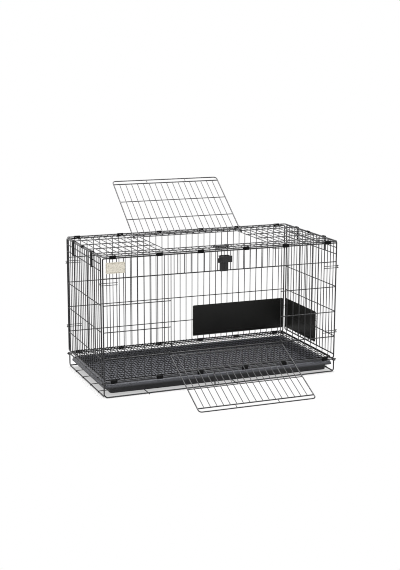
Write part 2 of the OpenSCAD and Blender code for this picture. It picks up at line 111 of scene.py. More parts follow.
END_TOP = END_HIGH.z - ROD_R
DOOR_LOW, DOOR_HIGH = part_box("front_door")
DOOR_HALF = (DOOR_HIGH.x - DOOR_LOW.x) / 2 - DOOR_R
DOOR_REACH = 325 * MM            # from a door's hinge wire to its far rod

# Level wires of the walls, and the ramp door's opening between its two edge wires
LEVEL_PITCH = 99 * MM
LEVELS = [SILL_Z + i * LEVEL_PITCH for i in range(4)]
OPEN_HALF = DOOR_HALF - 5.5 * MM
OPEN_X0, OPEN_X1 = RAMP_X - OPEN_HALF, RAMP_X + OPEN_HALF

# Gaps between the uprights of each field
LEFT_GAPS, OPEN_GAPS, RIGHT_GAPS = 10, 17, 9
LONG_GAPS, TOP_SIDE_GAPS, END_GAPS, DOOR_GAPS = 36, 10, 18, 18

# The top panel's opening, and its level wires from the hinge wire forwards
TOP_PITCH = 2 * END_X / LONG_GAPS
TOP_OPEN_X = END_X - TOP_SIDE_GAPS * TOP_PITCH
TOP_ROWS = [ROOF_Y - d * MM for d in (280 / 3, 560 / 3, 280, 321)]

# Level wires below an end panel's top rod
END_TOP_ROWS = (48.5 * MM, 23 * MM)


# ---- Sizes and colours that a user would change --------------------------------------------

class CageSizes(bpy.types.PropertyGroup):
    """Sizes of the wires and sheets that the dressing adds."""

    wire_r: FloatProperty(name="Panel wire radius", description="Radius of the thin panel wires",
                          default=1.45 * MM, unit="LENGTH")
    level_r: FloatProperty(name="Level wire radius", description="Radius of the thicker level wires",
                           default=1.85 * MM, unit="LENGTH")
    door_rod_r: FloatProperty(name="Door rod radius", description="Radius of the rod round a door",
                              default=2.3 * MM, unit="LENGTH")
    lap: FloatProperty(name="Weld lap", description="How far crossing wires lie off the panel's plane",
                       default=0.5 * MM, unit="LENGTH")
    mesh_wire_r: FloatProperty(name="Floor mesh wire radius", description="Radius of the floor mesh wires",
                               default=1.25 * MM, unit="LENGTH")
    mesh_x: FloatProperty(name="Floor mesh opening along", description="Floor wire spacing along the cage",
                          default=12.7 * MM, unit="LENGTH")
    mesh_y: FloatProperty(name="Floor mesh opening across", description="Floor wire spacing across the cage",
                          default=25.4 * MM, unit="LENGTH")
    wire_sides: IntProperty(name="Wire sides", description="Sides of the round thin wires", default=10)
    rod_sides: IntProperty(name="Rod sides", description="Sides of the thick rods", default=16)


class CageColours(bpy.types.PropertyGroup):
    """Colours of the finishes. A second one lies over the first in slow patches."""

    coat: FloatVectorProperty(name="Wire coat", description="Black electro-coat on the wires",
                              default=srgb("161618"), size=4, subtype="COLOR")
    coat_2: FloatVectorProperty(name="Wire coat, second", description="Wire coat where it is rubbed",
                                default=srgb("1f1f22"), size=4, subtype="COLOR")
    # The floor mesh's two tones are painted darker than the wire coat's: painted shade that keeps the fine
    # grid dark.
    mesh: FloatVectorProperty(name="Mesh coat", description="Dull black coat on the floor mesh",
                              default=srgb("0c0c0d"), size=4, subtype="COLOR")
    mesh_2: FloatVectorProperty(name="Mesh coat, second", description="Mesh coat where it is rubbed",
                                default=srgb("121213"), size=4, subtype="COLOR")
    sheet: FloatVectorProperty(name="Sheet coat", description="Black coat on clips and straps",
                               default=srgb("0b0b0c"), size=4, subtype="COLOR")
    sheet_2: FloatVectorProperty(name="Sheet coat, second", description="Sheet coat where it is rubbed",
                                 default=srgb("141415"), size=4, subtype="COLOR")
    # The pan's colours paint light and shade. The pan colour and its second tone are the lighter colour,
    # painted on faces that look up as if lit from above. The sides colour is painted shade on faces that
    # turn sideways or down.
    pan: FloatVectorProperty(name="Pan", description="Pan plastic with dust on it",
                             default=srgb("5c5d63"), size=4, subtype="COLOR")
    pan_2: FloatVectorProperty(name="Pan, second", description="Pan plastic with less dust on it",
                               default=srgb("54555a"), size=4, subtype="COLOR")
    pan_painted_shade: FloatVectorProperty(name="Pan sides", description="Pan plastic where no dust lies",
                                  default=srgb("28282a"), size=4, subtype="COLOR")
    guard: FloatVectorProperty(name="Guards", description="Splash guard plastic",
                               default=srgb("151514"), size=4, subtype="COLOR")
    guard_2: FloatVectorProperty(name="Guards, second", description="Splash guard where it is wiped",
                                 default=srgb("1c1c1a"), size=4, subtype="COLOR")
    latch: FloatVectorProperty(name="Latches", description="Latch nylon",
                               default=srgb("1a1a1c"), size=4, subtype="COLOR")
    latch_2: FloatVectorProperty(name="Latches, second", description="Latch nylon where it is handled",
                                 default=srgb("212123"), size=4, subtype="COLOR")
    card: FloatVectorProperty(name="Card", description="Cream label card",
                              default=srgb("e5dfd1"), size=4, subtype="COLOR")
    card_2: FloatVectorProperty(name="Card, second", description="Card where it has yellowed",
                                default=srgb("e1dbcc"), size=4, subtype="COLOR")
    border: FloatVectorProperty(name="Card border", description="Printed border of the card",
                                default=srgb("a29c8b"), size=4, subtype="COLOR")
    border_2: FloatVectorProperty(name="Card border, second", description="Border where ink is thin",
                                  default=srgb("98907b"), size=4, subtype="COLOR")
    floor: FloatVectorProperty(name="Studio floor", description="Pale seamless floor",
                               default=srgb("f4f4f4"), size=4, subtype="COLOR")


class CageStage(bpy.types.PropertyGroup):
    """Camera of the reference view."""

    camera_at: FloatVectorProperty(name="Camera place", description="Where the camera stands",
                                   default=(-1.6889, -4.1763, 1.2895), subtype="TRANSLATION", unit="LENGTH")
    azimuth: FloatProperty(name="Azimuth", description="Turn of the view from +Y, towards +X",
                           default=math.radians(21.97), unit="ROTATION")
    elevation: FloatProperty(name="Elevation", description="How far the view looks down",
                             default=math.radians(11.93), unit="ROTATION")
    roll: FloatProperty(name="Roll", description="Turn of the view about its own axis",
                        default=math.radians(0.196), unit="ROTATION")
    focal_px: FloatProperty(name="Focal length", description="Focal length in pixels of a 400 px wide image",
                            default=1180.7)


# ---- Materials -------------------------------------------------------------------------------

MIX_A, MIX_B, MIX_RESULT = 6, 7, 2       # colour sockets of a Mix node, which share their names


def add(tree, kind, links=(), **settings):
    """Adds one node, sets its sockets or properties, and links (socket, node, output) into it."""
    made = tree.nodes.new(kind)
    for name, value in settings.items():
        socket = made.inputs.get(name.replace("_", " "))
        if hasattr(made, name):
            setattr(made, name, value)
        elif socket is not None:
            socket.default_value = value
        else:
            raise ValueError(f"{kind} has no {name}")
    for socket, source, output in links:
        tree.links.new(source.outputs[output], made.inputs[socket])
    return made


def empty_tree(owner):
    """The emptied node tree of a material or a world."""
    owner.use_nodes = True
    owner.node_tree.nodes.clear()
    return owner.node_tree


def finish_material(name, colour, roughness, grain_mm, grain_depth_mm, wear_mm=60, **shell):
    """A moulded or coated surface: two tones in slow patches, uneven gloss and a fine bumped grain."""
    colours = bpy.context.scene.cage_colours
    made = bpy.data.materials.new(name)
    tree = empty_tree(made)
    where = add(tree, "ShaderNodeTexCoord")
    patches = add(tree, "ShaderNodeTexNoise", [("Vector", where, "Object")],
                  Scale=1 / (wear_mm * MM), Detail=3.0, Roughness=0.55)
    tone = add(tree, "ShaderNodeMix", [("Factor", patches, "Fac")], data_type="RGBA")
    tone.inputs[MIX_A].default_value = getattr(colours, colour)
    tone.inputs[MIX_B].default_value = getattr(colours, colour + "_2")
    gloss = add(tree, "ShaderNodeMapRange", [("Value", patches, "Fac")],
                From_Min=0.3, From_Max=0.7, To_Min=roughness[0], To_Max=roughness[1])
    grain = add(tree, "ShaderNodeTexNoise", [("Vector", where, "Object")],
                Scale=1 / (grain_mm * MM), Detail=2.0, Roughness=0.5)
    bump = add(tree, "ShaderNodeBump", [("Height", grain, "Fac")],
               Strength=0.6, Distance=grain_depth_mm * MM)
    shader = add(tree, "ShaderNodeBsdfPrincipled", [
        ("Base Color", tone, MIX_RESULT), ("Roughness", gloss, "Result"), ("Normal", bump, "Normal")])
    for socket, value in shell.items():
        shader.inputs[socket.replace("_", " ")].default_value = value
    add(tree, "ShaderNodeOutputMaterial", [("Surface", shader, "BSDF")])
    return made


def coated_wire():
    """Electro-coated steel wire: a thin even black paint, satin, with a faint orange peel."""
    return finish_material("black_electrocoat_wire", "coat", (0.26, 0.38),
                           grain_mm=0.9, grain_depth_mm=0.05, IOR=1.5, Specular_IOR_Level=0.5)


def coated_mesh():
    """The floor mesh: the panels' black coat, duller, and painted darker as painted shade, which keeps the
    fine grid nearly black.
    """
    return finish_material("dull_dipped_mesh", "mesh", (0.55, 0.7),
                           grain_mm=0.8, grain_depth_mm=0.05, IOR=1.5, Specular_IOR_Level=0.12)


def coated_sheet():
    """The same coat on rolled sheet: flat faces and a dull gloss, so it stays black in the light."""
    return finish_material("black_electrocoat_sheet", "sheet", (0.5, 0.65),
                           grain_mm=1.2, grain_depth_mm=0.04, IOR=1.5, Specular_IOR_Level=0.06)


def pan_plastic():
    """Injection-moulded polypropylene with a leathery grain, painted lighter on faces that look up and
    darker, as painted shade, on faces that turn sideways or down.
    """
    made = finish_material("moulded_polypropylene_pan", "pan", (0.42, 0.56),
                           grain_mm=1.4, grain_depth_mm=0.12, wear_mm=90, IOR=1.49,
                           Specular_IOR_Level=0.3)
    tree = made.node_tree
    shader = next(node for node in tree.nodes if node.type == "BSDF_PRINCIPLED")
    painted_lit_tone = shader.inputs["Base Color"].links[0].from_node
    # Painted shade: faces that turn sideways or down get the darker sides colour, and faces that look up get
    # the lighter, painted-lit tone.
    facing = add(tree, "ShaderNodeSeparateXYZ", [("Vector", add(tree, "ShaderNodeNewGeometry"), "Normal")])
    lies = add(tree, "ShaderNodeMapRange", [("Value", facing, "Z")], From_Min=-0.15, From_Max=0.25)
    painted_shade_mix = add(tree, "ShaderNodeMix", [("Factor", lies, "Result"), (MIX_B, painted_lit_tone, MIX_RESULT)],
                data_type="RGBA")
    painted_shade_mix.inputs[MIX_A].default_value = bpy.context.scene.cage_colours.pan_painted_shade
    tree.links.new(painted_shade_mix.outputs[MIX_RESULT], shader.inputs["Base Color"])
    return made


def guard_plastic():
    """Vacuum-formed polystyrene sheet: nearly smooth, slightly wavy, so its gloss wanders."""
    return finish_material("vacuum_formed_guard", "guard", (0.36, 0.5),
                           grain_mm=9, grain_depth_mm=0.35, wear_mm=120, IOR=1.55,
                           Specular_IOR_Level=0.3)


def latch_nylon():
    """Moulded nylon: deep black with a fine spark-eroded mould texture."""
    return finish_material("moulded_nylon_latch", "latch", (0.4, 0.52),
                           grain_mm=0.7, grain_depth_mm=0.05, wear_mm=25, IOR=1.53,
                           Specular_IOR_Level=0.35)


def card_stock():
    """Matt coated card: cream, with a slight tooth of paper fibre."""
    return finish_material("cream_coated_card", "card", (0.5, 0.6),
                           grain_mm=0.6, grain_depth_mm=0.006, wear_mm=40, IOR=1.5,
                           Specular_IOR_Level=0.2)


def card_border():
    """The card's printed border: the same stock under a flat grey-brown ink."""
    return finish_material("card_border_ink", "border", (0.45, 0.55),
                           grain_mm=0.6, grain_depth_mm=0.03, wear_mm=18, IOR=1.5)


MATERIALS = {}


def material(make):
    """One copy of each material, made on first use."""
    if make.__name__ not in MATERIALS:
        MATERIALS[make.__name__] = make()
    return MATERIALS[make.__name__]


# ---- Geometry Nodes: rows of straight wires, and copies of one small piece -------------------

def new_group(name, sockets):
    """An empty Geometry Nodes tree with named inputs, in order, after its geometry."""
    group = bpy.data.node_groups.new(name, "GeometryNodeTree")
    group.interface.new_socket("Geometry", in_out="OUTPUT", socket_type="NodeSocketGeometry")
    group.interface.new_socket("Geometry", in_out="INPUT", socket_type="NodeSocketGeometry")
    for label, kind in sockets:
        group.interface.new_socket(label, in_out="INPUT", socket_type=kind)
    return group


def close_group(group, inputs, instances):
    """Ends a tree in Realize Instances, smooth shading and Set Material."""
    real = add(group, "GeometryNodeRealizeInstances", [("Geometry", instances, "Instances")])
    smooth = add(group, "GeometryNodeSetShadeSmooth", [("Geometry", real, "Geometry")])
    painted = add(group, "GeometryNodeSetMaterial", [
        ("Geometry", smooth, "Geometry"), ("Material", inputs, "Material")])
    add(group, "NodeGroupOutput", [("Geometry", painted, "Geometry")])


def wire_row_group():
    """Parallel straight wires: Count of them from Start, each a Step on, running along Run."""
    group = new_group("wire_row", [
        ("Start", "NodeSocketVector"), ("Step", "NodeSocketVector"), ("Run", "NodeSocketVector"),
        ("Count", "NodeSocketInt"), ("Radius", "NodeSocketFloat"), ("Sides", "NodeSocketInt"),
        ("Material", "NodeSocketMaterial")])
    inputs = add(group, "NodeGroupInput")
    places = add(group, "GeometryNodeMeshLine", [
        ("Count", inputs, "Count"), ("Start Location", inputs, "Start"), ("Offset", inputs, "Step")],
        mode="OFFSET")
    core = add(group, "GeometryNodeCurvePrimitiveLine", [("End", inputs, "Run")])
    ring = add(group, "GeometryNodeCurvePrimitiveCircle", [
        ("Radius", inputs, "Radius"), ("Resolution", inputs, "Sides")])
    solid = add(group, "GeometryNodeCurveToMesh", [("Curve", core, "Curve"),
                                                   ("Profile Curve", ring, "Curve")])
    solid.inputs["Fill Caps"].default_value = True
    placed = add(group, "GeometryNodeInstanceOnPoints", [
        ("Points", places, "Mesh"), ("Instance", solid, "Mesh")])
    close_group(group, inputs, placed)
    return group


def copies_group():
    """Copies of the object's own mesh: Count of them from Start, each a Step on."""
    group = new_group("copies_in_a_row", [
        ("Start", "NodeSocketVector"), ("Step", "NodeSocketVector"), ("Count", "NodeSocketInt"),
        ("Material", "NodeSocketMaterial")])
    inputs = add(group, "NodeGroupInput")
    places = add(group, "GeometryNodeMeshLine", [
        ("Count", inputs, "Count"), ("Start Location", inputs, "Start"), ("Offset", inputs, "Step")],
        mode="OFFSET")
    placed = add(group, "GeometryNodeInstanceOnPoints", [
        ("Points", places, "Mesh"), ("Instance", inputs, "Geometry")])
    close_group(group, inputs, placed)
    return group


GROUPS = {}


def group_named(make):
    """One copy of each tree, made on first use."""
    if make.__name__ not in GROUPS:
        GROUPS[make.__name__] = make()
    return GROUPS[make.__name__]


def grown(group, values, mesh=None):
    """The plain mesh that a tree makes from its named input values."""
    holder = bpy.data.objects.new("holder", mesh or bpy.data.meshes.new("holder"))
    bpy.context.scene.collection.objects.link(holder)
    modifier = holder.modifiers.new("grow", "NODES")
    modifier.node_group = group
    for item in group.interface.items_tree:
        if item.in_out == "INPUT" and item.name in values:
            modifier[item.identifier] = values[item.name]
    bpy.context.view_layer.update()
    evaluated = holder.evaluated_get(bpy.context.evaluated_depsgraph_get())
    result = bpy.data.meshes.new_from_object(evaluated)
    holder.modifiers.remove(modifier)
    bpy.data.objects.remove(holder)
    return result


class Build:
    """Collects the meshes of one piece, each placed by the turn that is current."""

    def __init__(self, turn=None):
        self.mesh = bmesh.new()
        self.turn = turn or Matrix.Identity(4)

    def take(self, mesh, slot=0):
        """Adds a mesh, and then removes it."""
        mesh.transform(self.turn)
        before = len(self.mesh.faces)
        self.mesh.from_mesh(mesh)
        self.mesh.faces.ensure_lookup_table()
        for face in self.mesh.faces[before:]:
            face.material_index = slot
        bpy.data.meshes.remove(mesh)

    def row(self, start, step, run, count, radius=None, sides=None):
        """A row of parallel wires."""
        sizes = bpy.context.scene.cage_sizes
        self.take(grown(group_named(wire_row_group), {
            "Start": Vector(start), "Step": Vector(step), "Run": Vector(run), "Count": count,
            "Radius": radius or sizes.wire_r, "Sides": sides or sizes.wire_sides}))

    def rod(self, path, radius, bend=0.0, sides=None, closed=False):
        """A bent rod."""
        sides = sides or bpy.context.scene.cage_sizes.rod_sides
        self.take(tube_mesh(filleted(path, bend, closed), radius, sides, closed))

    def block(self, x0, y0, x1, y1, corner, low, high, edge):
        """A flat block between two heights, with round corners and eased edges."""
        self.take(slab_mesh(rounded_outline(x0, y0, x1, y1, corner), low, high, edge))

    def piece(self, name, materials):
        """Turns what was collected into an object at the origin."""
        mesh = finished_mesh(self.mesh, name)
        for made in materials:
            mesh.materials.append(material(made))
        piece = bpy.data.objects.new(name, mesh)
        bpy.context.scene.collection.objects.link(piece)
        return piece


def finished_mesh(shape, name):
    """Turns a bmesh into a mesh and frees it."""
    mesh = bpy.data.meshes.new(name)
    shape.to_mesh(mesh)
    shape.free()
    return mesh


def skin(shape, rings, closed=False):
    """Quads from each ring of vertices to the next, and two caps where the rings don't close."""
    sides = len(rings[0])
    pairs = list(zip(rings, rings[1:])) + ([(rings[-1], rings[0])] if closed else [])
    for low, high in pairs:
        for k in range(sides):
            after = (k + 1) % sides
            shape.faces.new((low[k], low[after], high[after], high[k]))
    if not closed:
        shape.faces.new(list(reversed(rings[0])))
        shape.faces.new(rings[-1])


def filleted(path, bend, closed=False, steps=7):
    """The path with each corner rounded by an arc of radius bend."""
    nearly_straight = math.radians(89)
    points = [Vector(p) for p in path]
    if bend <= 0:
        return points
    out = []
    last = len(points) - 1
    for i, corner in enumerate(points):
        if not closed and i in (0, last):
            out.append(corner)
            continue
        back = (points[i - 1] - corner).normalized()
        on = (points[(i + 1) % len(points)] - corner).normalized()
        half = back.angle(on) / 2
        if half > nearly_straight:
            out.append(corner)
            continue
        centre = corner + (back + on).normalized() * (bend / math.sin(half))
        first = corner + back * (bend / math.tan(half)) - centre
        end = corner + on * (bend / math.tan(half)) - centre
        sweep = first.angle(end)
        axis = first.cross(end).normalized()
        out += [centre + Matrix.Rotation(sweep * k / steps, 3, axis) @ first for k in range(steps + 1)]
    return out


def tube_mesh(points, radius, sides, closed=False):
    """A round tube swept along points, without twist, with domed ends."""
    shape = bmesh.new()
    count = len(points)
    ways = []
    for i in range(count):
        ahead = points[(i + 1) % count] if closed or i < count - 1 else points[i]
        behind = points[i - 1] if closed or i > 0 else points[i]
        ways.append((ahead - behind).normalized())
    side = ways[0].orthogonal().normalized()
    stations = []
    for i in range(count):
        side = (side - ways[i] * side.dot(ways[i])).normalized()
        stations.append((points[i], ways[i], side, radius))
    if not closed:
        dome = ((0.55, 0.83), (0.9, 0.43))       # how far out and how wide, as shares of the radius
        start, way, first_side, _ = stations[0]
        end, end_way, end_side, _ = stations[-1]
        caps_in = [(start - way * radius * a, way, first_side, radius * b) for a, b in reversed(dome)]
        caps_out = [(end + end_way * radius * a, end_way, end_side, radius * b) for a, b in dome]
        stations = caps_in + stations + caps_out
    rings = []
    for centre, way, across, size in stations:
        up = way.cross(across)
        ring = [on_circle(size, 360 * k / sides) for k in range(sides)]
        rings.append([shape.verts.new(centre + a * across + b * up) for a, b in ring])
    skin(shape, rings, closed)
    for face in shape.faces:
        face.smooth = True
    return finished_mesh(shape, "tube")


def slab_mesh(outline, low, high, edge, segments=2):
    """A flat plate of an XY outline between two heights, with rounded edges."""
    shape = bmesh.new()
    bottom = shape.faces.new([shape.verts.new((x, y, low)) for x, y in outline])
    made = bmesh.ops.extrude_face_region(shape, geom=[bottom])
    for vert in (v for v in made["geom"] if isinstance(v, bmesh.types.BMVert)):
        vert.co.z = high
    bmesh.ops.recalc_face_normals(shape, faces=shape.faces)
    if edge > 0:
        bmesh.ops.bevel(shape, geom=list(shape.edges), offset=edge, segments=segments,
                        affect="EDGES", profile=0.5, clamp_overlap=True)
    return finished_mesh(shape, "slab")


def rounded_outline(x0, y0, x1, y1, radius, steps=5):
    """Points round a rectangle with rounded corners."""
    out = []
    for cx, cy, start in ((x1 - radius, y1 - radius, 0), (x0 + radius, y1 - radius, 90),
                          (x0 + radius, y0 + radius, 180), (x1 - radius, y0 + radius, 270)):
        for k in range(steps + 1):
            across, up = on_circle(radius, start + 90 * k / steps)
            out.append((cx + across, cy + up))
    return out


def ribbon_mesh(path, half, thick):
    """A sheet metal strip along an XZ centre line, wide along Y, with eased edges."""
    shape = bmesh.new()
    points = [Vector(p) for p in path]
    across = Vector((0, 1, 0))
    ease, rim = thick * 0.3, thick * 0.25
    profile = [(-half, -rim), (-half, rim), (-half + ease, thick / 2), (half - ease, thick / 2),
               (half, rim), (half, -rim), (half - ease, -thick / 2), (-half + ease, -thick / 2)]
    rings = []
    for i, point in enumerate(points):
        way = (points[min(i + 1, len(points) - 1)] - points[max(i - 1, 0)]).normalized()
        out = way.cross(across).normalized()
        rings.append([shape.verts.new(point + across * a + out * b) for a, b in profile])
    skin(shape, rings)
    bmesh.ops.recalc_face_normals(shape, faces=shape.faces)
    return finished_mesh(shape, "ribbon")


def band_mesh(loop, x, half, thick):
    """A closed sheet band round a YZ loop, wide along X, with rounded rims."""
    shape = bmesh.new()
    middle_point = sum(loop, Vector()) / len(loop)
    rim = thick * 0.3
    side = thick / 2 - rim
    profile = [(-half, -side), (-half + rim, -thick / 2), (half - rim, -thick / 2), (half, -side),
               (half, side), (half - rim, thick / 2), (-half + rim, thick / 2), (-half, side)]
    rings = []
    for i, point in enumerate(loop):
        way = loop[(i + 1) % len(loop)] - loop[i - 1]
        out = Vector((0, way.z, -way.y)).normalized()
        if out.dot(point - middle_point) < 0:
            out = -out
        rings.append([shape.verts.new(Vector((x + a, point.y, point.z)) + out * b) for a, b in profile])
    skin(shape, rings, closed=True)
    bmesh.ops.remove_doubles(shape, verts=shape.verts, dist=1e-7)
    bmesh.ops.recalc_face_normals(shape, faces=shape.faces)
    for face in shape.faces:
        face.smooth = True
    return finished_mesh(shape, "band")


def settle(piece, body, slot, *nodes):
    """Gives a piece its body and hides the nodes that it stands for. Its slot is not used."""
    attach(piece, body)
    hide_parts(*nodes)


# ---- The welded panels -----------------------------------------------------------------------

WELD_R = 1.5 * MM
BORDER_BEND = 6 * MM
PAST_EDGE = 1 * MM               # a cut level wire ends this far past the opening's edge wire


def wall_turn(y):
    """Stands what is drawn flat upright at a y, with its upper side towards the front."""
    return Matrix.Translation((0, y, 0)) @ turned(90, "X")


def uprights(build, x0, x1, gaps, low, high, skip_ends=True):
    """Upright wires of an XY panel between x0 and x1, on its upper side."""
    lap = bpy.context.scene.cage_sizes.lap
    pitch = (x1 - x0) / gaps
    first, count = (1, gaps - 1) if skip_ends else (0, gaps + 1)
    build.row((x0 + first * pitch, low, lap), (pitch, 0, 0), (0, high - low, 0), count)


def level_wire(build, x0, x1, y):
    """One level wire of an XY panel, on its under side."""
    sizes = bpy.context.scene.cage_sizes
    build.row((x0, y, -sizes.lap), (0, 0, 0), (x1 - x0, 0, 0), 1, radius=sizes.level_r)


def panel_border(build, x0, y0, x1, y1, radius=ROD_R):
    """The closed rod round a panel, bent at its corners."""
    middle_x = (x0 + x1) / 2
    build.rod([(middle_x, y0, 0), (x1, y0, 0), (x1, y1, 0), (x0, y1, 0), (x0, y0, 0)], radius,
              bend=BORDER_BEND, closed=True)


def welds(build, xs, ys, z=0.0):
    """Small weld nuggets where wires cross."""
    shape = bmesh.new()
    bmesh.ops.create_icosphere(shape, subdivisions=1, radius=WELD_R)
    nugget = finished_mesh(shape, "nugget")
    for y in ys:
        build.take(grown(group_named(copies_group), {
            "Start": Vector((xs[0], y, z)), "Step": Vector((xs[1] - xs[0], 0, 0)), "Count": len(xs)},
            nugget.copy()))
    bpy.data.meshes.remove(nugget)


def spaced(x0, x1, gaps):
    """Places of the wires inside a stretch, without its two ends."""
    return [x0 + (x1 - x0) * i / gaps for i in range(1, gaps)]


def welded_level(build, x0, x1, gaps, y):
    """A level wire, welded to each upright of a field."""
    level_wire(build, x0, x1, y)
    welds(build, spaced(x0, x1, gaps), [y])


def front_panel():
    """The front panel round the ramp door's opening."""
    front = Build(wall_turn(-SIDE_Y))
    uprights(front, -POST_X, OPEN_X0, LEFT_GAPS, PANEL_LOW, PANEL_HIGH)
    uprights(front, OPEN_X1, POST_X, RIGHT_GAPS, PANEL_LOW, PANEL_HIGH)
    uprights(front, OPEN_X0, OPEN_X1, OPEN_GAPS, PANEL_LOW, SILL_Z)
    uprights(front, OPEN_X0, OPEN_X1, OPEN_GAPS, LEVELS[3], PANEL_HIGH)
    uprights(front, OPEN_X0, OPEN_X1, 1, PANEL_LOW, PANEL_HIGH, skip_ends=False)
    for z in LEVELS[1:3]:
        level_wire(front, -POST_X, OPEN_X0 + PAST_EDGE, z)
        level_wire(front, OPEN_X1 - PAST_EDGE, POST_X, z)
        welds(front, spaced(-POST_X, OPEN_X0, LEFT_GAPS), [z])
        welds(front, spaced(OPEN_X1, POST_X, RIGHT_GAPS), [z])
    level_wire(front, -POST_X, POST_X, LEVELS[3])
    front.rod([(-POST_X, SILL_Z, 0), (POST_X, SILL_Z, 0)], DOOR_R)
    panel_border(front, -POST_X, PANEL_LOW, POST_X, PANEL_HIGH)
    settle(front.piece("front_wire_panel", [coated_wire]), "frame", "black_coated_wire",
           "front_panel_left", "front_panel_right", "front_panel_above", "front_panel_below")


def back_panel():
    """The back panel, with level wires from end to end."""
    back = Build(wall_turn(SIDE_Y))
    uprights(back, -POST_X, POST_X, LONG_GAPS, PANEL_LOW, PANEL_HIGH)
    for z in LEVELS:
        welded_level(back, -POST_X, POST_X, LONG_GAPS, z)
    panel_border(back, -POST_X, PANEL_LOW, POST_X, PANEL_HIGH)
    settle(back.piece("back_wire_panel", [coated_wire]), "frame", "black_coated_wire", "back_panel")


def top_panel():
    """The top panel round the top door's opening."""
    top = Build(Matrix.Translation((0, 0, TOP_Z)))
    uprights(top, -END_X, END_X, LONG_GAPS, ROOF_Y, SIDE_Y)
    uprights(top, -END_X, END_X, LONG_GAPS, -SIDE_Y, TOP_ROWS[2])
    uprights(top, -END_X, -TOP_OPEN_X + TOP_PITCH, TOP_SIDE_GAPS + 1, TOP_ROWS[2], ROOF_Y)
    uprights(top, TOP_OPEN_X - TOP_PITCH, END_X, TOP_SIDE_GAPS + 1, TOP_ROWS[2], ROOF_Y)
    for y in TOP_ROWS[:2]:
        level_wire(top, -END_X, -TOP_OPEN_X + PAST_EDGE, y)
        level_wire(top, TOP_OPEN_X - PAST_EDGE, END_X, y)
    for y in TOP_ROWS[2:]:
        welded_level(top, -END_X, END_X, LONG_GAPS, y)
    top.rod([(-END_X, ROOF_Y, 0), (END_X, ROOF_Y, 0)], DOOR_R)
    panel_border(top, -END_X, -SIDE_Y, END_X, SIDE_Y)
    settle(top.piece("top_wire_panel", [coated_wire]), "frame", "black_coated_wire",
           "top_panel_left", "top_panel_right", "top_panel_back", "top_panel_front")


class CAGE_OT_long_panels(bpy.types.Operator):
    """Front, back and top panels"""

    bl_idname = "cage.long_panels"
    bl_label = "Front, back and top panels"

    def execute(self, context):
        front_panel()
        back_panel()
        top_panel()
        return {"FINISHED"}


# ---- End panels and their straps -------------------------------------------------------------

ENDS = ((1, "right"), (-1, "left"))
STRAP_HALF = 8 * MM
STRAP_T = 1.5 * MM
STRAP_PLAY = 0.3 * MM            # between the end rod and the strap that curls over it
STRAP_BEND = 2 * MM
STRAP_INSETS = (0.75 * MM, 4.75 * MM)    # middles of the front and back strap, from their box's ends


def end_panel(side, word):
    """One end panel, turned to face out of its end of the cage."""
    low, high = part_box(word + "_end_panel")
    bottom, top = low.z + ROD_R, high.z - ROD_R
    end = Build(Matrix.Translation((side * END_PLANE, 0, 0)) @ turned(90 * side, "Z") @ turned(90, "X"))
    uprights(end, -END_Y, END_Y, END_GAPS, bottom, top)
    for z in LEVELS[:3] + [top - row for row in END_TOP_ROWS]:
        welded_level(end, -END_Y, END_Y, END_GAPS, z)
    panel_border(end, -END_Y, bottom, END_Y, top)
    settle(end.piece(word + "_end_wires", [coated_wire]), word + "_end", "black_coated_wire",
           word + "_end_panel")


def strap_mesh(side, y):
    """A strap that hooks over the end rod and hangs down outside the end panel."""
    low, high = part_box("right_straps")
    face = high.x - STRAP_T / 2
    top = high.z - STRAP_T / 2
    curl = [on_circle(ROD_R + STRAP_PLAY + STRAP_T / 2, a) for a in range(138, 90, -8)]
    path = [Vector((END_X + across, y, TOP_Z + up)) for across, up in curl]
    path += filleted([(END_X, y, top), (face, y, top), (face, y, low.z)], STRAP_BEND)
    return ribbon_mesh([(side * point.x, point.y, point.z) for point in path], STRAP_HALF, STRAP_T)


def end_straps(side, word):
    """The two flat straps of one end."""
    low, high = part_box(word + "_straps")
    straps = Build()
    for y in (low.y + STRAP_INSETS[0], high.y - STRAP_INSETS[1]):
        straps.take(strap_mesh(side, y))
    settle(straps.piece(word + "_fold_straps", [coated_sheet]), word + "_end", "black_sheet_steel",
           word + "_straps")


class CAGE_OT_end_panels(bpy.types.Operator):
    """The two end panels with their straps"""

    bl_idname = "cage.end_panels"
    bl_label = "End panels and straps"

    def execute(self, context):
        for side, word in ENDS:
            end_panel(side, word)
            end_straps(side, word)
        return {"FINISHED"}


# ---- Clips and hooks -------------------------------------------------------------------------

CLIP_X = [x * MM for x in (-432, -254, -93, 89, 252, 430)]
CLIP_T = 1.2 * MM
CLIP_HALF = 11.75 * MM
CLIP_STEP = 15                   # degrees between the stations of a clip's bend
HOOK_R = 1.25 * MM
HOOK_BEND = 3.4 * MM
HOOK_RISE = 8 * MM               # between the two legs of a hook


def edge_clips(node):
    """Six sheet clips, each closed round the two rods of a long edge."""
    low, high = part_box(node)
    y = (low.y + high.y) / 2
    reach = (high.y - low.y) / 2
    under, over = low.z + reach, high.z - reach
    # Half a turn over the upper rod, and half a turn under the lower one
    loop = []
    for a in list(range(0, 181, CLIP_STEP)) + list(range(180, 361, CLIP_STEP)):
        across, up = on_circle(reach - CLIP_T / 2, a)
        loop.append(Vector((0, y + across, (over if a < 180 else under) + up)))
    row = Build()
    for x in CLIP_X:
        row.take(band_mesh(loop, x, CLIP_HALF, CLIP_T))
    settle(row.piece(node.replace("_clips", "_hinge_clips"), [coated_sheet]), "frame",
           "black_sheet_steel", node)


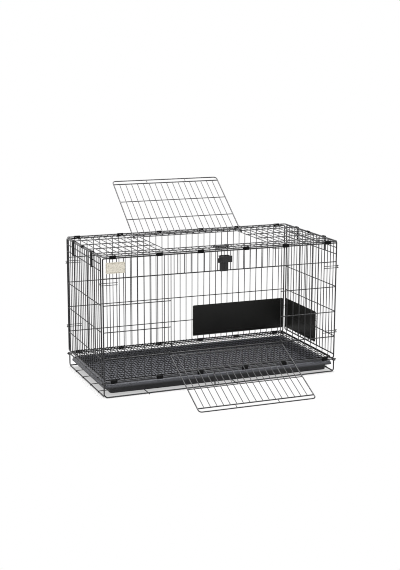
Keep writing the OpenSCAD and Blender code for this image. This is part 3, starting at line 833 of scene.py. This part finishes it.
def middle_clip(side, word):
    """One band round the top panel's end rod and the end panel's top rod."""
    low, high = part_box(word + "_end_clip")
    rods = (Vector((0, END_X, TOP_Z)), Vector((0, END_PLANE, END_TOP)))
    lean = math.degrees(math.atan2(rods[1].z - rods[0].z, rods[1].y - rods[0].y))
    # Half a turn round the end panel's rod, and half a turn round the top panel's
    loop = []
    for a in list(range(0, 181, CLIP_STEP)) + list(range(181, 361, CLIP_STEP)):
        across, up = on_circle(ROD_R + 0.75 * CLIP_T, lean + 90 - a)
        loop.append(rods[0 if a > 180 else 1] + Vector((0, across, up)))
    band = band_mesh(loop, (low.y + high.y) / 2, (high.y - low.y) / 2, CLIP_T)
    band.transform(Matrix(((0, side, 0, 0), (1, 0, 0, 0), (0, 0, 1, 0), (0, 0, 0, 1))))
    if side > 0:
        band.flip_normals()
    clip = Build()
    clip.take(band)
    settle(clip.piece(word + "_middle_clip", [coated_sheet]), word + "_end", "black_sheet_steel",
           word + "_end_clip")


class CAGE_OT_clips(bpy.types.Operator):
    """Sheet clips along the long edges, and the end panels' middle clips"""

    bl_idname = "cage.clips"
    bl_label = "Hinge clips"

    def execute(self, context):
        for node in ("top_front_clips", "top_back_clips", "base_front_clips", "base_back_clips"):
            edge_clips(node)
        for side, word in ENDS:
            middle_clip(side, word)
        return {"FINISHED"}


def corner_hooks(side, word, sign_y, front_back):
    """The two wire hooks of one corner, one above the other."""
    low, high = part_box(f"{front_back}_{word}_hooks")
    inner_x, tip_x = (low.x, high.x - HOOK_R) if side > 0 else (high.x, low.x + HOOK_R)
    leg_y, tip_y = (low.y + HOOK_R, high.y - HOOK_R) if sign_y < 0 else (high.y - HOOK_R, low.y + HOOK_R)
    hooks = Build()
    for z in (low.z + HOOK_R, high.z - HOOK_R - HOOK_RISE):
        over = z + HOOK_RISE
        hooks.rod([(inner_x, leg_y, z), (tip_x, leg_y, z), (tip_x, tip_y, z),
                   (tip_x, tip_y, over), (tip_x, leg_y, over), (inner_x, leg_y, over)],
                  HOOK_R, bend=HOOK_BEND, sides=10)
    settle(hooks.piece(f"{front_back}_{word}_wire_hooks", [coated_wire]), "frame",
           "black_coated_wire", f"{front_back}_{word}_hooks")


class CAGE_OT_hooks(bpy.types.Operator):
    """Double wire hooks at the corners"""

    bl_idname = "cage.hooks"
    bl_label = "Corner hooks"

    def execute(self, context):
        for side, word in reversed(ENDS):
            corner_hooks(side, word, -1, "front")
            corner_hooks(side, word, 1, "back")
        return {"FINISHED"}


# ---- Doors ---------------------------------------------------------------------------------

DOOR_RAILS = [12.5 * MM, 102 * MM, 203 * MM, DOOR_REACH - 19 * MM]      # from the hinge wire
DOOR_BEND = 12 * MM
DOOR_NECK = 8 * MM               # where the side rods leave their eyes
STUB_X = (-83.5 * MM, 83.5 * MM)  # short wires between the last rail and the far rod
WELD_LIFT = 0.3 * MM


def door_build(turn):
    """A door in its own flat frame: x across, y from the hinge, z out of the cage."""
    sizes = bpy.context.scene.cage_sizes
    door = Build(turn)
    eye = [on_circle(EYE_R, a) for a in range(330, -1, -15)]
    left_eye = [Vector((-DOOR_HALF, -back, up)) for up, back in eye]
    right_eye = [Vector((DOOR_HALF, -back, up)) for up, back in reversed(eye)]
    rod = filleted([(-DOOR_HALF, DOOR_NECK, DOOR_OFF), (-DOOR_HALF, DOOR_REACH, DOOR_OFF),
                    (DOOR_HALF, DOOR_REACH, DOOR_OFF), (DOOR_HALF, DOOR_NECK, DOOR_OFF)], DOOR_BEND)
    door.take(tube_mesh(left_eye + rod + right_eye, sizes.door_rod_r, sizes.rod_sides))
    for y in (DOOR_RAILS[0], DOOR_RAILS[3]):
        door.rod([(-DOOR_HALF, y, DOOR_OFF), (DOOR_HALF, y, DOOR_OFF)], sizes.door_rod_r)
    for y in DOOR_RAILS[1:3]:
        door.row((-DOOR_HALF, y, DOOR_OFF - sizes.lap / 2), (0, 0, 0), (2 * DOOR_HALF, 0, 0), 1,
                 radius=sizes.level_r, sides=12)
    pitch = 2 * DOOR_HALF / DOOR_GAPS
    door.row((-DOOR_HALF + pitch, DOOR_RAILS[0], DOOR_OFF + sizes.lap), (pitch, 0, 0),
             (0, DOOR_RAILS[3] - DOOR_RAILS[0], 0), DOOR_GAPS - 1)
    welds(door, spaced(-DOOR_HALF, DOOR_HALF, DOOR_GAPS), DOOR_RAILS[1:3], DOOR_OFF + WELD_LIFT)
    for x in STUB_X:
        door.row((x, DOOR_RAILS[3], DOOR_OFF), (0, 0, 0), (0, DOOR_REACH - DOOR_RAILS[3], 0), 1)
    return door


def ramp_turn(angle):
    """Places what is drawn flat in front of the closed ramp door, turned down by an angle."""
    return Matrix.Translation((0, -SIDE_Y, SILL_Z)) @ turned(90 + angle, "X")


def roof_turn(angle):
    """Places what is drawn flat on the closed top door, turned open by an angle."""
    return Matrix.Translation((0, ROOF_Y, TOP_Z)) @ turned(-angle, "X") @ turned(180, "Z")


class CAGE_OT_doors(bpy.types.Operator):
    """The ramp door and the top door"""

    bl_idname = "cage.doors"
    bl_label = "Doors"

    def execute(self, context):
        ramp = door_build(ramp_turn(RAMP_OPEN) @ Matrix.Translation((RAMP_X, 0, 0)))
        settle(ramp.piece("ramp_door", [coated_wire]), "ramp_door", "black_coated_wire", "front_door")
        roof = door_build(roof_turn(ROOF_OPEN))
        settle(roof.piece("roof_door", [coated_wire]), "roof_door", "black_coated_wire", "top_door")
        return {"FINISHED"}


# ---- Latches, drawn flat on a closed door: x across, y from its hinge wire ---------------------

SLIDE_LOW = DOOR_REACH + DOOR_R + 0.6 * MM
SLIDE_BACK = DOOR_OFF + DOOR_R + 0.5 * MM
SLIDE_T = 4 * MM
SLIDE_L = 24 * MM
SLIDE_HALF = 28 * MM
SLIDE_CUT = 8 * MM               # chamfer at one corner of the slide
THUMB_RIBS = 5
RIB_PITCH = 3.2 * MM
PLATE_LOW = 3 * LEVEL_PITCH - 4 * MM
PLATE_BACK, PLATE_FRONT = -2.75 * MM, 1.75 * MM
PLATE_HALF = 17 * MM
JAW_LOW = DOOR_REACH + DOOR_R + 20.8 * MM
JAW_L = 5 * MM
JAW_PLAY = 0.3 * MM              # between a jaw and the base plate that it grips
JAW_T, JAW_BACK_T = 3 * MM, 2 * MM       # beside the base plate and behind it
PLATE_END = JAW_LOW + 6.2 * MM
# Inner side, outer side and shortening of the base plate's raised rails
PLATE_RAILS = ((PLATE_HALF - 4.5 * MM, PLATE_HALF - 0.3 * MM, 1 * MM), (2 * MM, 5 * MM, 3 * MM))


def latch_plate(turn, x):
    """The base plate: a rounded block with two raised rails on each half."""
    plate = Build(turn @ Matrix.Translation((x, 0, 0)))
    plate.block(-PLATE_HALF, PLATE_LOW, PLATE_HALF, PLATE_END, 3 * MM, PLATE_BACK, 0.9 * MM, 0.4 * MM)
    for s in (-1, 1):
        for inner, outer, short in PLATE_RAILS:
            x0, x1 = sorted((s * inner, s * outer))
            plate.block(x0, PLATE_LOW + short, x1, PLATE_END - short, 1.2 * MM, 0, PLATE_FRONT, 0.35 * MM)
    return plate


def latch_slide(turn, x):
    """The slide: a chamfered plate, a ribbed thumb tab, a lip, and two jaws round the base plate."""
    slide = Build(turn @ Matrix.Translation((x, 0, 0)))
    top = SLIDE_LOW + SLIDE_L
    face = SLIDE_BACK + SLIDE_T
    outline = [(-SLIDE_HALF, SLIDE_LOW), (SLIDE_HALF, SLIDE_LOW), (SLIDE_HALF, top),
               (-SLIDE_HALF + SLIDE_CUT, top), (-SLIDE_HALF, top - SLIDE_CUT)]
    slide.take(slab_mesh(outline, SLIDE_BACK, face, 0.8 * MM, segments=3))
    for i in range(THUMB_RIBS):
        y = SLIDE_LOW + 2 * MM + i * RIB_PITCH
        slide.block(-SLIDE_HALF + 1.2 * MM, y, -SLIDE_HALF + 14 * MM, y + RIB_PITCH / 2, 0.7 * MM,
                    face - 0.3 * MM, face + MM, 0.4 * MM)
    # The lip along the plain end, and the low raised field between the lip and the ribs
    slide.block(SLIDE_HALF - 4 * MM, SLIDE_LOW, SLIDE_HALF, top, 1.2 * MM,
                face - 0.4 * MM, face + MM, 0.4 * MM)
    slide.block(-11 * MM, SLIDE_LOW + 4 * MM, SLIDE_HALF - 7 * MM, top - 4 * MM, 2 * MM,
                face - 0.4 * MM, face + 0.5 * MM, 0.3 * MM)
    back = PLATE_BACK - JAW_PLAY - JAW_BACK_T
    outer = PLATE_HALF + JAW_PLAY + JAW_T
    for s in (-1, 1):
        for inner, front in ((PLATE_HALF + JAW_PLAY, SLIDE_BACK + 0.4 * MM),
                             (PLATE_HALF - JAW_T, back + JAW_BACK_T)):
            x0, x1 = sorted((s * inner, s * outer))
            slide.block(x0, JAW_LOW, x1, JAW_LOW + JAW_L, 0.8 * MM, back, front, 0.3 * MM)
    return slide


class CAGE_OT_latches(bpy.types.Operator):
    """Both latches: base plates and slides"""

    bl_idname = "cage.latches"
    bl_label = "Latches"

    def execute(self, context):
        for turn, word, body in ((ramp_turn(0), "front", "ramp_latch"), (roof_turn(0), "top", "roof_latch")):
            x = middle(word + "_latch_plate").x
            settle(latch_plate(turn, x).piece(word + "_latch_base", [latch_nylon]), "frame",
                   "latch_plastic", word + "_latch_plate")
            settle(latch_slide(turn, x).piece(word + "_latch_slider", [latch_nylon]), body,
                   "latch_plastic", word + "_latch_slide")
        return {"FINISHED"}


# ---- Base frame and the wires under the pan --------------------------------------------------

GROUND_BEND = 10 * MM
FRONT_OUT = 14 * MM              # the front ground rod's left end is bent out this far
FRONT_BACK = 16 * MM             # and then runs back beside the end rod
FRONT_BEND = 5 * MM
RAIL_PAST = 8 * MM               # the rails' ends pass the end rods
CENTRE_X = -36 * MM              # centre posts
CROSS_X = (-303 * MM, 51 * MM)   # cross wires on the ground
CROSS_PAST = 24 * MM
CROSS_R = 1.7 * MM
CROSS_Z = 1.8 * MM
COIL_WIRE_R = 2.5 * MM
COIL_R = 5.4 * MM
COIL_TURNS = 1.5
COIL_RISE = 5.2 * MM
COIL_DROP = 1.5 * MM             # a coil's middle lies this far under the rail
PAN_WIRE_Y = [y * MM for y in (-163.5, -67.5, 36.5, 128.5)]
PAN_WIRE_R = 1.35 * MM


def coil_points(x, y, z):
    """A wire end wound one and a half times round an upright post."""
    steps = 24
    points = []
    for i in range(steps + 1):
        across, along = on_circle(COIL_R, 360 * COIL_TURNS * i / steps)
        up = COIL_RISE * (COIL_TURNS / 2 - COIL_TURNS * i / steps)
        points.append((x + across, y + along, z - COIL_DROP - up))
    return points


def base_rods():
    """The base frame: bent ground rods, rails, centre posts, corner coils and cross wires."""
    _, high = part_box("base_frame")
    rail_z = high.z - ROD_R
    ground = ROD_R
    base = Build()
    for x in (-END_X, END_X):
        base.rod([(x, -SIDE_Y, rail_z), (x, -SIDE_Y, ground), (x, SIDE_Y, ground), (x, SIDE_Y, rail_z)],
                 ROD_R, bend=GROUND_BEND)
        base.rod([(x, -SIDE_Y, rail_z), (x, SIDE_Y, rail_z)], ROD_R)
    beside = END_X - 2 * ROD_R
    base.rod([(-beside, -SIDE_Y + FRONT_BACK, ground), (-beside, -SIDE_Y - FRONT_OUT, ground),
              (beside, -SIDE_Y, ground)], ROD_R, bend=FRONT_BEND)
    base.rod([(-beside, SIDE_Y, ground), (beside, SIDE_Y, ground)], ROD_R)
    for y, foot_y in ((-SIDE_Y, -SIDE_Y - FRONT_OUT / 2), (SIDE_Y, SIDE_Y)):
        base.rod([(-END_X - RAIL_PAST, y, rail_z), (END_X + RAIL_PAST, y, rail_z)], ROD_R)
        base.rod([(CENTRE_X, foot_y, ground), (CENTRE_X, y, rail_z)], ROD_R)
        for x in (-END_X, END_X):
            base.rod(coil_points(x, y, rail_z), COIL_WIRE_R)
    for x in CROSS_X:
        base.rod([(x, -SIDE_Y - CROSS_PAST, CROSS_Z), (x, SIDE_Y, CROSS_Z)], CROSS_R, sides=10)
    settle(base.piece("base_rods", [coated_wire]), "frame", "black_coated_wire", "base_frame")


def pan_wires():
    """The lengthwise wires under the pan, hooked over the ground rods of the two ends."""
    hook = [on_circle(ROD_R + PAN_WIRE_R, a) for a in range(0, 106, 15)]
    under = Build()
    for y in PAN_WIRE_Y:
        left = [Vector((-END_X - across, y, ROD_R + up)) for up, across in reversed(hook)]
        right = [Vector((END_X + across, y, ROD_R + up)) for up, across in hook]
        under.take(tube_mesh(left + right, PAN_WIRE_R, 10))
    settle(under.piece("pan_wires", [coated_wire]), "frame", "black_coated_wire", "pan_support_wires")


class CAGE_OT_base(bpy.types.Operator):
    """The base frame and the wires under the pan"""

    bl_idname = "cage.base"
    bl_label = "Base frame"

    def execute(self, context):
        base_rods()
        pan_wires()
        return {"FINISHED"}


# ---- Mesh floor ------------------------------------------------------------------------------

FLOOR_INSET = 10 * MM            # the floor's border rod lies this far inside the end rods
FOOT_R = 1.25 * MM
FOOT_Y = (-150 * MM, 0, 150 * MM)
FOOT_PAST = 2 * MM               # a foot ends this far past the end rod's middle
FOOT_DROP = 5.45 * MM            # from the border rod down to a foot, middle to middle


class CAGE_OT_floor(bpy.types.Operator):
    """The fine mesh floor"""

    bl_idname = "cage.floor"
    bl_label = "Mesh floor"

    def execute(self, context):
        sizes = context.scene.cage_sizes
        radius = sizes.mesh_wire_r
        low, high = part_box("floor_grid")
        reach_x, reach_y = END_X - FLOOR_INSET, high.y - DOOR_R
        across = round(2 * reach_x / sizes.mesh_x)
        along = round(2 * reach_y / sizes.mesh_y)
        step_x, step_y = 2 * reach_x / across, 2 * reach_y / along
        over_z, under_z = high.z - radius, high.z - 2.6 * radius     # the two layers overlap at the welds
        floor = Build()
        floor.row((-reach_x + step_x, -reach_y, over_z), (step_x, 0, 0), (0, 2 * reach_y, 0),
                  across - 1, radius=radius, sides=8)
        floor.row((-reach_x, -reach_y + step_y, under_z), (0, step_y, 0), (2 * reach_x, 0, 0),
                  along - 1, radius=radius, sides=8)
        foot_z = low.z + FOOT_R
        rod_z = foot_z + FOOT_DROP
        for s in (-1, 1):
            for y in FOOT_Y:
                floor.rod([(s * reach_x, y, rod_z), (s * reach_x, y, foot_z),
                           (s * (END_X + FOOT_PAST), y, foot_z)], FOOT_R, bend=2 * MM, sides=10)
        floor.turn = Matrix.Translation((0, 0, rod_z))
        panel_border(floor, -reach_x, -reach_y, reach_x, reach_y, radius=DOOR_R)
        settle(floor.piece("floor_mesh", [coated_mesh]), "frame", "black_coated_wire", "floor_grid")
        return {"FINISHED"}


# ---- Pan -------------------------------------------------------------------------------------

FLANGE_X, FLANGE_Y = 22, 6       # mm from the lip's outer side to the flange's inner edge
LIP = 12                         # mm that the lip hangs down
PAN_FLOOR_T = 2 * MM
RIB_X = [x * MM for x in (-300, -100, 100, 300)]
RIB_HALF = 3 * MM
RIB_INSET = 45 * MM              # a rib stops this far inside the pan's long sides
RIB_UP = 1.2 * MM


def tub_section(depth):
    """The tub's section in mm, as (inset in x, inset in y, height from the top, corner radius)."""
    inside = [(8.4, 2 - depth, 9), (6.4, 2.2 - depth, 10), (5.3, 3.4 - depth, 11.5),
              (4.8, 5.5 - depth, 12), (2.4, -2.4, 12), (1.5, -0.8, 12.5), (0.4, -0.15, 13),
              (-0.8, 0, 13.5)]
    skirt = [(4.2, 0, 12), (3.6, -0.4, 12.5), (3.2, -1.2, 12.5), (0, 0.6 - LIP, 14), (0.5, -LIP, 13.5),
             (1.5, -LIP, 12.5), (2, 0.6 - LIP, 12), (4.4, -2.6, 12), (5, -2, 11.5)]
    outside = [(-1, -2, 13), (0.3, -2.8, 14), (2.4, 5.5 - depth, 14), (2.8, 2.6 - depth, 13),
               (4.2, 0.7 - depth, 11), (6.4, -depth, 9)]
    return ([(FLANGE_X + i, FLANGE_Y + i, z, r) for i, z, r in inside]
            + [(i, i, z, r) for i, z, r in skirt]
            + [(FLANGE_X + i, FLANGE_Y + i, z, r) for i, z, r in outside])


def tub_mesh(section, low, high):
    """A closed tub shell, lofted through a rounded rectangle for each point of its section."""
    shape = bmesh.new()
    rings = []
    for inset_x, inset_y, drop, radius in section:
        outline = rounded_outline(low.x + inset_x * MM, low.y + inset_y * MM,
                                  high.x - inset_x * MM, high.y - inset_y * MM, radius * MM, steps=6)
        rings.append([shape.verts.new((x, y, high.z + drop * MM)) for x, y in outline])
    skin(shape, rings)
    bmesh.ops.recalc_face_normals(shape, faces=shape.faces)
    for face in shape.faces:
        face.smooth = len(face.verts) == 4
    return finished_mesh(shape, "tub")


class CAGE_OT_pan(bpy.types.Operator):
    """The moulded pan: flange, lip, sloping walls and a floor with shallow drainage ribs"""

    bl_idname = "cage.pan"
    bl_label = "Pan"

    def execute(self, context):
        long_low, long_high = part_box("pan_long_walls")
        end_low, end_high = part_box("pan_end_walls")
        low = Vector((end_low.x, long_low.y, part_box("pan_floor")[0].z))
        high = Vector((end_high.x, long_high.y, end_high.z))
        pan = Build()
        pan.take(tub_mesh(tub_section((high.z - low.z) / MM), low, high))
        floor_z = low.z + PAN_FLOOR_T
        for x in RIB_X:
            pan.block(x - RIB_HALF, low.y + RIB_INSET, x + RIB_HALF, high.y - RIB_INSET, 2.9 * MM,
                      floor_z - 0.5 * MM, floor_z + RIB_UP, 0.8 * MM)
        settle(pan.piece("moulded_pan", [pan_plastic]), "pan", "pan_plastic",
               "pan_floor", "pan_long_walls", "pan_end_walls", "pan_corners")
        return {"FINISHED"}


# ---- Guards, their fastener and the card ---------------------------------------------------

GUARD_T = 2 * MM
GUARD_CORNER = 5 * MM
BACK_RIDGES = (9 * MM,)          # heights of the moulded ridges
SIDE_RIDGES = (9 * MM, 52 * MM)
RIDGE_H = 3 * MM
RIDGE_INSET = 8 * MM
CURL_WAVES = 3


def guard_sheet(length, height, ledge, ridges):
    """A guard drawn flat: x along, y up, z towards the cage's inside."""
    guard = Build()
    guard.block(0, 0, length, height, GUARD_CORNER, 0, GUARD_T, 0.5 * MM)
    for y in ridges:
        guard.block(RIDGE_INSET, y, length - RIDGE_INSET, y + RIDGE_H, 1.4 * MM,
                    GUARD_T - 0.4 * MM, GUARD_T + 1.1 * MM, 0.7 * MM)
    guard.block(0, 0, length, GUARD_T, 0.9 * MM, 0, ledge, 0.5 * MM)
    guard.block(0, 0, GUARD_T, height - 2 * MM, 0.9 * MM, 0, ledge, 0.5 * MM)
    return guard


def back_guard():
    """The long guard along the back panel."""
    low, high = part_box("back_guard")
    guard = guard_sheet(high.x - low.x, high.z - low.z, high.y - low.y, BACK_RIDGES)
    guard.mesh.transform(Matrix(((1, 0, 0, low.x), (0, 0, -1, high.y), (0, 1, 0, low.z), (0, 0, 0, 1))))
    settle(guard.piece("back_splash_guard", [guard_plastic]), "frame", "guard_plastic", "back_guard")


def side_guard():
    """The guard on the right end panel. It is mirrored into place, so its faces are turned again."""
    low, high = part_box("side_guard")
    guard = guard_sheet(high.y - low.y, high.z - low.z, high.x - low.x, SIDE_RIDGES)
    guard.mesh.transform(Matrix(((0, 0, -1, high.x), (1, 0, 0, low.y), (0, 1, 0, low.z), (0, 0, 0, 1))))
    bmesh.ops.recalc_face_normals(guard.mesh, faces=guard.mesh.faces)
    settle(guard.piece("side_splash_guard", [guard_plastic]), "right_end", "guard_plastic", "side_guard")


def guard_curl():
    """The curly wire that holds the side guard's edge."""
    low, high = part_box("guard_spring")
    radius = (high.x - low.x) / 2
    x, y = middle("guard_spring").x, middle("guard_spring").y
    sway = (high.y - low.y) / 2 - radius
    steps = 20
    path = []
    for i in range(CURL_WAVES * steps + 1):
        _, across = on_circle(sway, 360 * i / steps)
        up = (high.z - low.z - 2 * radius) * i / (CURL_WAVES * steps)
        path.append(Vector((x, y + across, low.z + radius + up)))
    curl = Build()
    curl.take(tube_mesh(path, radius, 10))
    settle(curl.piece("curly_guard_wire", [coated_wire]), "right_end", "black_coated_wire",
           "guard_spring")


class CAGE_OT_guards(bpy.types.Operator):
    """The two splash guards and the curly wire that holds the side one"""

    bl_idname = "cage.guards"
    bl_label = "Splash guards"

    def execute(self, context):
        back_guard()
        side_guard()
        guard_curl()
        return {"FINISHED"}


CARD_RIM = 3 * MM                # from the card's edge to its border
BORDER_W = 1 * MM
INK_T = 0.1 * MM


class CAGE_OT_label(bpy.types.Operator):
    """The bare card with a plain border"""

    bl_idname = "cage.label"
    bl_label = "Label card"

    def execute(self, context):
        low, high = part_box("label_plate")
        width, thick, height = high - low
        right, top = width - CARD_RIM, height - CARD_RIM
        card = Build(Matrix(((1, 0, 0, low.x), (0, 0, -1, high.y), (0, 1, 0, low.z), (0, 0, 0, 1))))
        card.block(0, 0, width, height, 4 * MM, 0, thick, 0.25 * MM)
        for x0, y0, x1, y1 in ((CARD_RIM, CARD_RIM, right, CARD_RIM + BORDER_W),
                               (CARD_RIM, top - BORDER_W, right, top),
                               (CARD_RIM, CARD_RIM, CARD_RIM + BORDER_W, top),
                               (right - BORDER_W, CARD_RIM, right, top)):
            card.take(slab_mesh([(x0, y0), (x1, y0), (x1, y1), (x0, y1)], thick - INK_T, thick + INK_T, 0),
                      slot=1)
        settle(card.piece("bare_card", [card_stock, card_border]), "frame", "label_card", "label_plate")
        return {"FINISHED"}


# ---- Stage -----------------------------------------------------------------------------------

PAPER_REACH = 30.0
PAPER_DROP = 0.5 * MM            # keeps the paper clear of the ground rods
SHADOW_REACH = 0.08              # past the cage, where the paper has turned plain white
NEAR_WHITE = 0.5                 # share of plain white in the paper under the cage
WORLD_LIGHT = 0.36               # strength of the white surroundings as a light
LOOK_AT = Vector((0, 0, 0.25))
LAMPS = (                        # name, place, size, watts
    ("key_softbox", (-1.6, -2.2, 3.0), (2.2, 2.2), 20),
    ("fill_softbox", (2.6, -1.6, 2.2), (2.6, 2.6), 6),
    ("top_softbox", (0.15, 0.45, 2.7), (2.8, 1.7), 160),
)
IMAGE_WIDTH = 400                # pixels that the camera's focal length is counted in


def seen_directly(tree):
    """1 for camera, glossy and transmission rays, 0 for the rays that carry light."""
    ray = add(tree, "ShaderNodeLightPath")
    seen = add(tree, "ShaderNodeMath", [(0, ray, "Is Camera Ray"), (1, ray, "Is Glossy Ray")],
               operation="MAXIMUM")
    return add(tree, "ShaderNodeMath", [(0, seen, "Value"), (1, ray, "Is Transmission Ray")],
               operation="MAXIMUM")


def seamless_paper():
    """Seamless paper: it keeps the cage's shadow near the cage, and is plain white far from it."""
    made = bpy.data.materials.new("seamless_paper")
    tree = empty_tree(made)
    paper = add(tree, "ShaderNodeBsdfPrincipled", Base_Color=bpy.context.scene.cage_colours.floor,
                Roughness=0.95, Specular_IOR_Level=0.1)
    white = add(tree, "ShaderNodeEmission", Strength=1.0)
    place = add(tree, "ShaderNodeTexCoord")
    across = add(tree, "ShaderNodeVectorMath", [(0, place, "Object")], operation="ABSOLUTE")
    past = add(tree, "ShaderNodeVectorMath", [(0, across, "Vector")], operation="SUBTRACT")
    past.inputs[1].default_value = (END_X, SIDE_Y, 0)
    outside = add(tree, "ShaderNodeVectorMath", [(0, past, "Vector")], operation="MAXIMUM")
    outside.inputs[1].default_value = (0, 0, 0)
    far = add(tree, "ShaderNodeVectorMath", [(0, outside, "Vector")], operation="LENGTH")
    share = add(tree, "ShaderNodeMapRange", [("Value", far, "Value")], interpolation_type="SMOOTHSTEP",
                From_Min=0.0, From_Max=SHADOW_REACH, To_Min=NEAR_WHITE, To_Max=1.0)
    shown = add(tree, "ShaderNodeMath", [(0, share, "Result"), (1, seen_directly(tree), "Value")],
                operation="MULTIPLY")
    mixed = add(tree, "ShaderNodeMixShader", [("Fac", shown, "Value"), (1, paper, "BSDF"),
                                              (2, white, "Emission")])
    add(tree, "ShaderNodeOutputMaterial", [("Surface", mixed, "Shader")])
    return made


def studio_floor(scene):
    """A wide sheet of paper just under the ground rods."""
    corners = [(x * PAPER_REACH, y * PAPER_REACH, 0) for x, y in ((-1, -1), (1, -1), (1, 1), (-1, 1))]
    mesh = bpy.data.meshes.new("studio_floor")
    mesh.from_pydata(corners, [], [(0, 1, 2, 3)])
    mesh.materials.append(seamless_paper())
    floor = bpy.data.objects.new("studio_floor", mesh)
    floor.location.z = -PAPER_DROP
    scene.collection.objects.link(floor)


def white_surroundings(scene):
    """A world that looks plain white and gives less light than that."""
    scene.world = bpy.data.worlds.new("white_studio")
    tree = empty_tree(scene.world)
    strength = add(tree, "ShaderNodeMapRange", [("Value", seen_directly(tree), "Value")],
                   To_Min=WORLD_LIGHT, To_Max=1.0)
    sky = add(tree, "ShaderNodeBackground", [("Strength", strength, "Result")], Color=(1, 1, 1, 1))
    add(tree, "ShaderNodeOutputWorld", [("Surface", sky, "Background")])


def softboxes(scene):
    """The lamps, each turned to the middle of the cage."""
    for name, place, size, watts in LAMPS:
        lamp = bpy.data.lights.new(name, "AREA")
        lamp.shape = "RECTANGLE"
        lamp.size, lamp.size_y = size
        lamp.energy = watts
        holder = bpy.data.objects.new(name, lamp)
        holder.location = place
        holder.rotation_euler = (LOOK_AT - Vector(place)).to_track_quat("-Z", "Y").to_euler()
        scene.collection.objects.link(holder)


def reference_camera(scene):
    """The camera of the reference view."""
    view = scene.cage_stage
    lens = bpy.data.cameras.new("reference_view")
    lens.sensor_fit = "HORIZONTAL"
    lens.sensor_width = 36.0
    lens.lens = view.focal_px / IMAGE_WIDTH * lens.sensor_width
    lens.clip_end = 100.0
    camera = bpy.data.objects.new("reference_view", lens)
    camera.matrix_world = (Matrix.Translation(view.camera_at) @ Matrix.Rotation(-view.azimuth, 4, "Z")
                           @ Matrix.Rotation(math.radians(90) - view.elevation, 4, "X")
                           @ Matrix.Rotation(view.roll, 4, "Z"))
    scene.collection.objects.link(camera)
    scene.camera = camera


class CAGE_OT_stage(bpy.types.Operator):
    """Floor, lights, white surroundings and the camera"""

    bl_idname = "cage.stage"
    bl_label = "Stage"

    def execute(self, context):
        scene = context.scene
        studio_floor(scene)
        white_surroundings(scene)
        softboxes(scene)
        reference_camera(scene)
        scene.view_settings.view_transform = "Standard"
        scene.cycles.filter_width = 1.0
        return {"FINISHED"}


# ---- Add-on ---------------------------------------------------------------------------------

OPERATORS = (CAGE_OT_base, CAGE_OT_pan, CAGE_OT_floor, CAGE_OT_long_panels, CAGE_OT_end_panels,
             CAGE_OT_clips, CAGE_OT_hooks, CAGE_OT_doors, CAGE_OT_latches, CAGE_OT_guards,
             CAGE_OT_label, CAGE_OT_stage)


class CAGE_PT_panel(bpy.types.Panel):
    """Lists the cage's operators and sizes"""

    bl_idname = "CAGE_PT_panel"
    bl_label = "Wire Rabbit Cage"
    bl_space_type = "VIEW_3D"
    bl_region_type = "UI"
    bl_category = "Cage"

    def draw(self, context):
        for operator in OPERATORS:
            self.layout.operator(operator.bl_idname)
        for group in (context.scene.cage_sizes, context.scene.cage_colours, context.scene.cage_stage):
            for name in group.__annotations__:
                self.layout.prop(group, name)


CLASSES = (CageSizes, CageColours, CageStage) + OPERATORS + (CAGE_PT_panel,)


def register():
    """Adds the add-on's classes and its settings."""
    for cls in CLASSES:
        bpy.utils.register_class(cls)
    bpy.types.Scene.cage_sizes = PointerProperty(type=CageSizes)
    bpy.types.Scene.cage_colours = PointerProperty(type=CageColours)
    bpy.types.Scene.cage_stage = PointerProperty(type=CageStage)


def unregister():
    """Takes them out again."""
    del bpy.types.Scene.cage_stage
    del bpy.types.Scene.cage_colours
    del bpy.types.Scene.cage_sizes
    for cls in reversed(CLASSES):
        bpy.utils.unregister_class(cls)


def main():
    """Registers the add-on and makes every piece."""
    register()
    for operator in OPERATORS:
        area, name = operator.bl_idname.split(".")
        getattr(getattr(bpy.ops, area), name)()


if __name__ == "__main__":
    main()
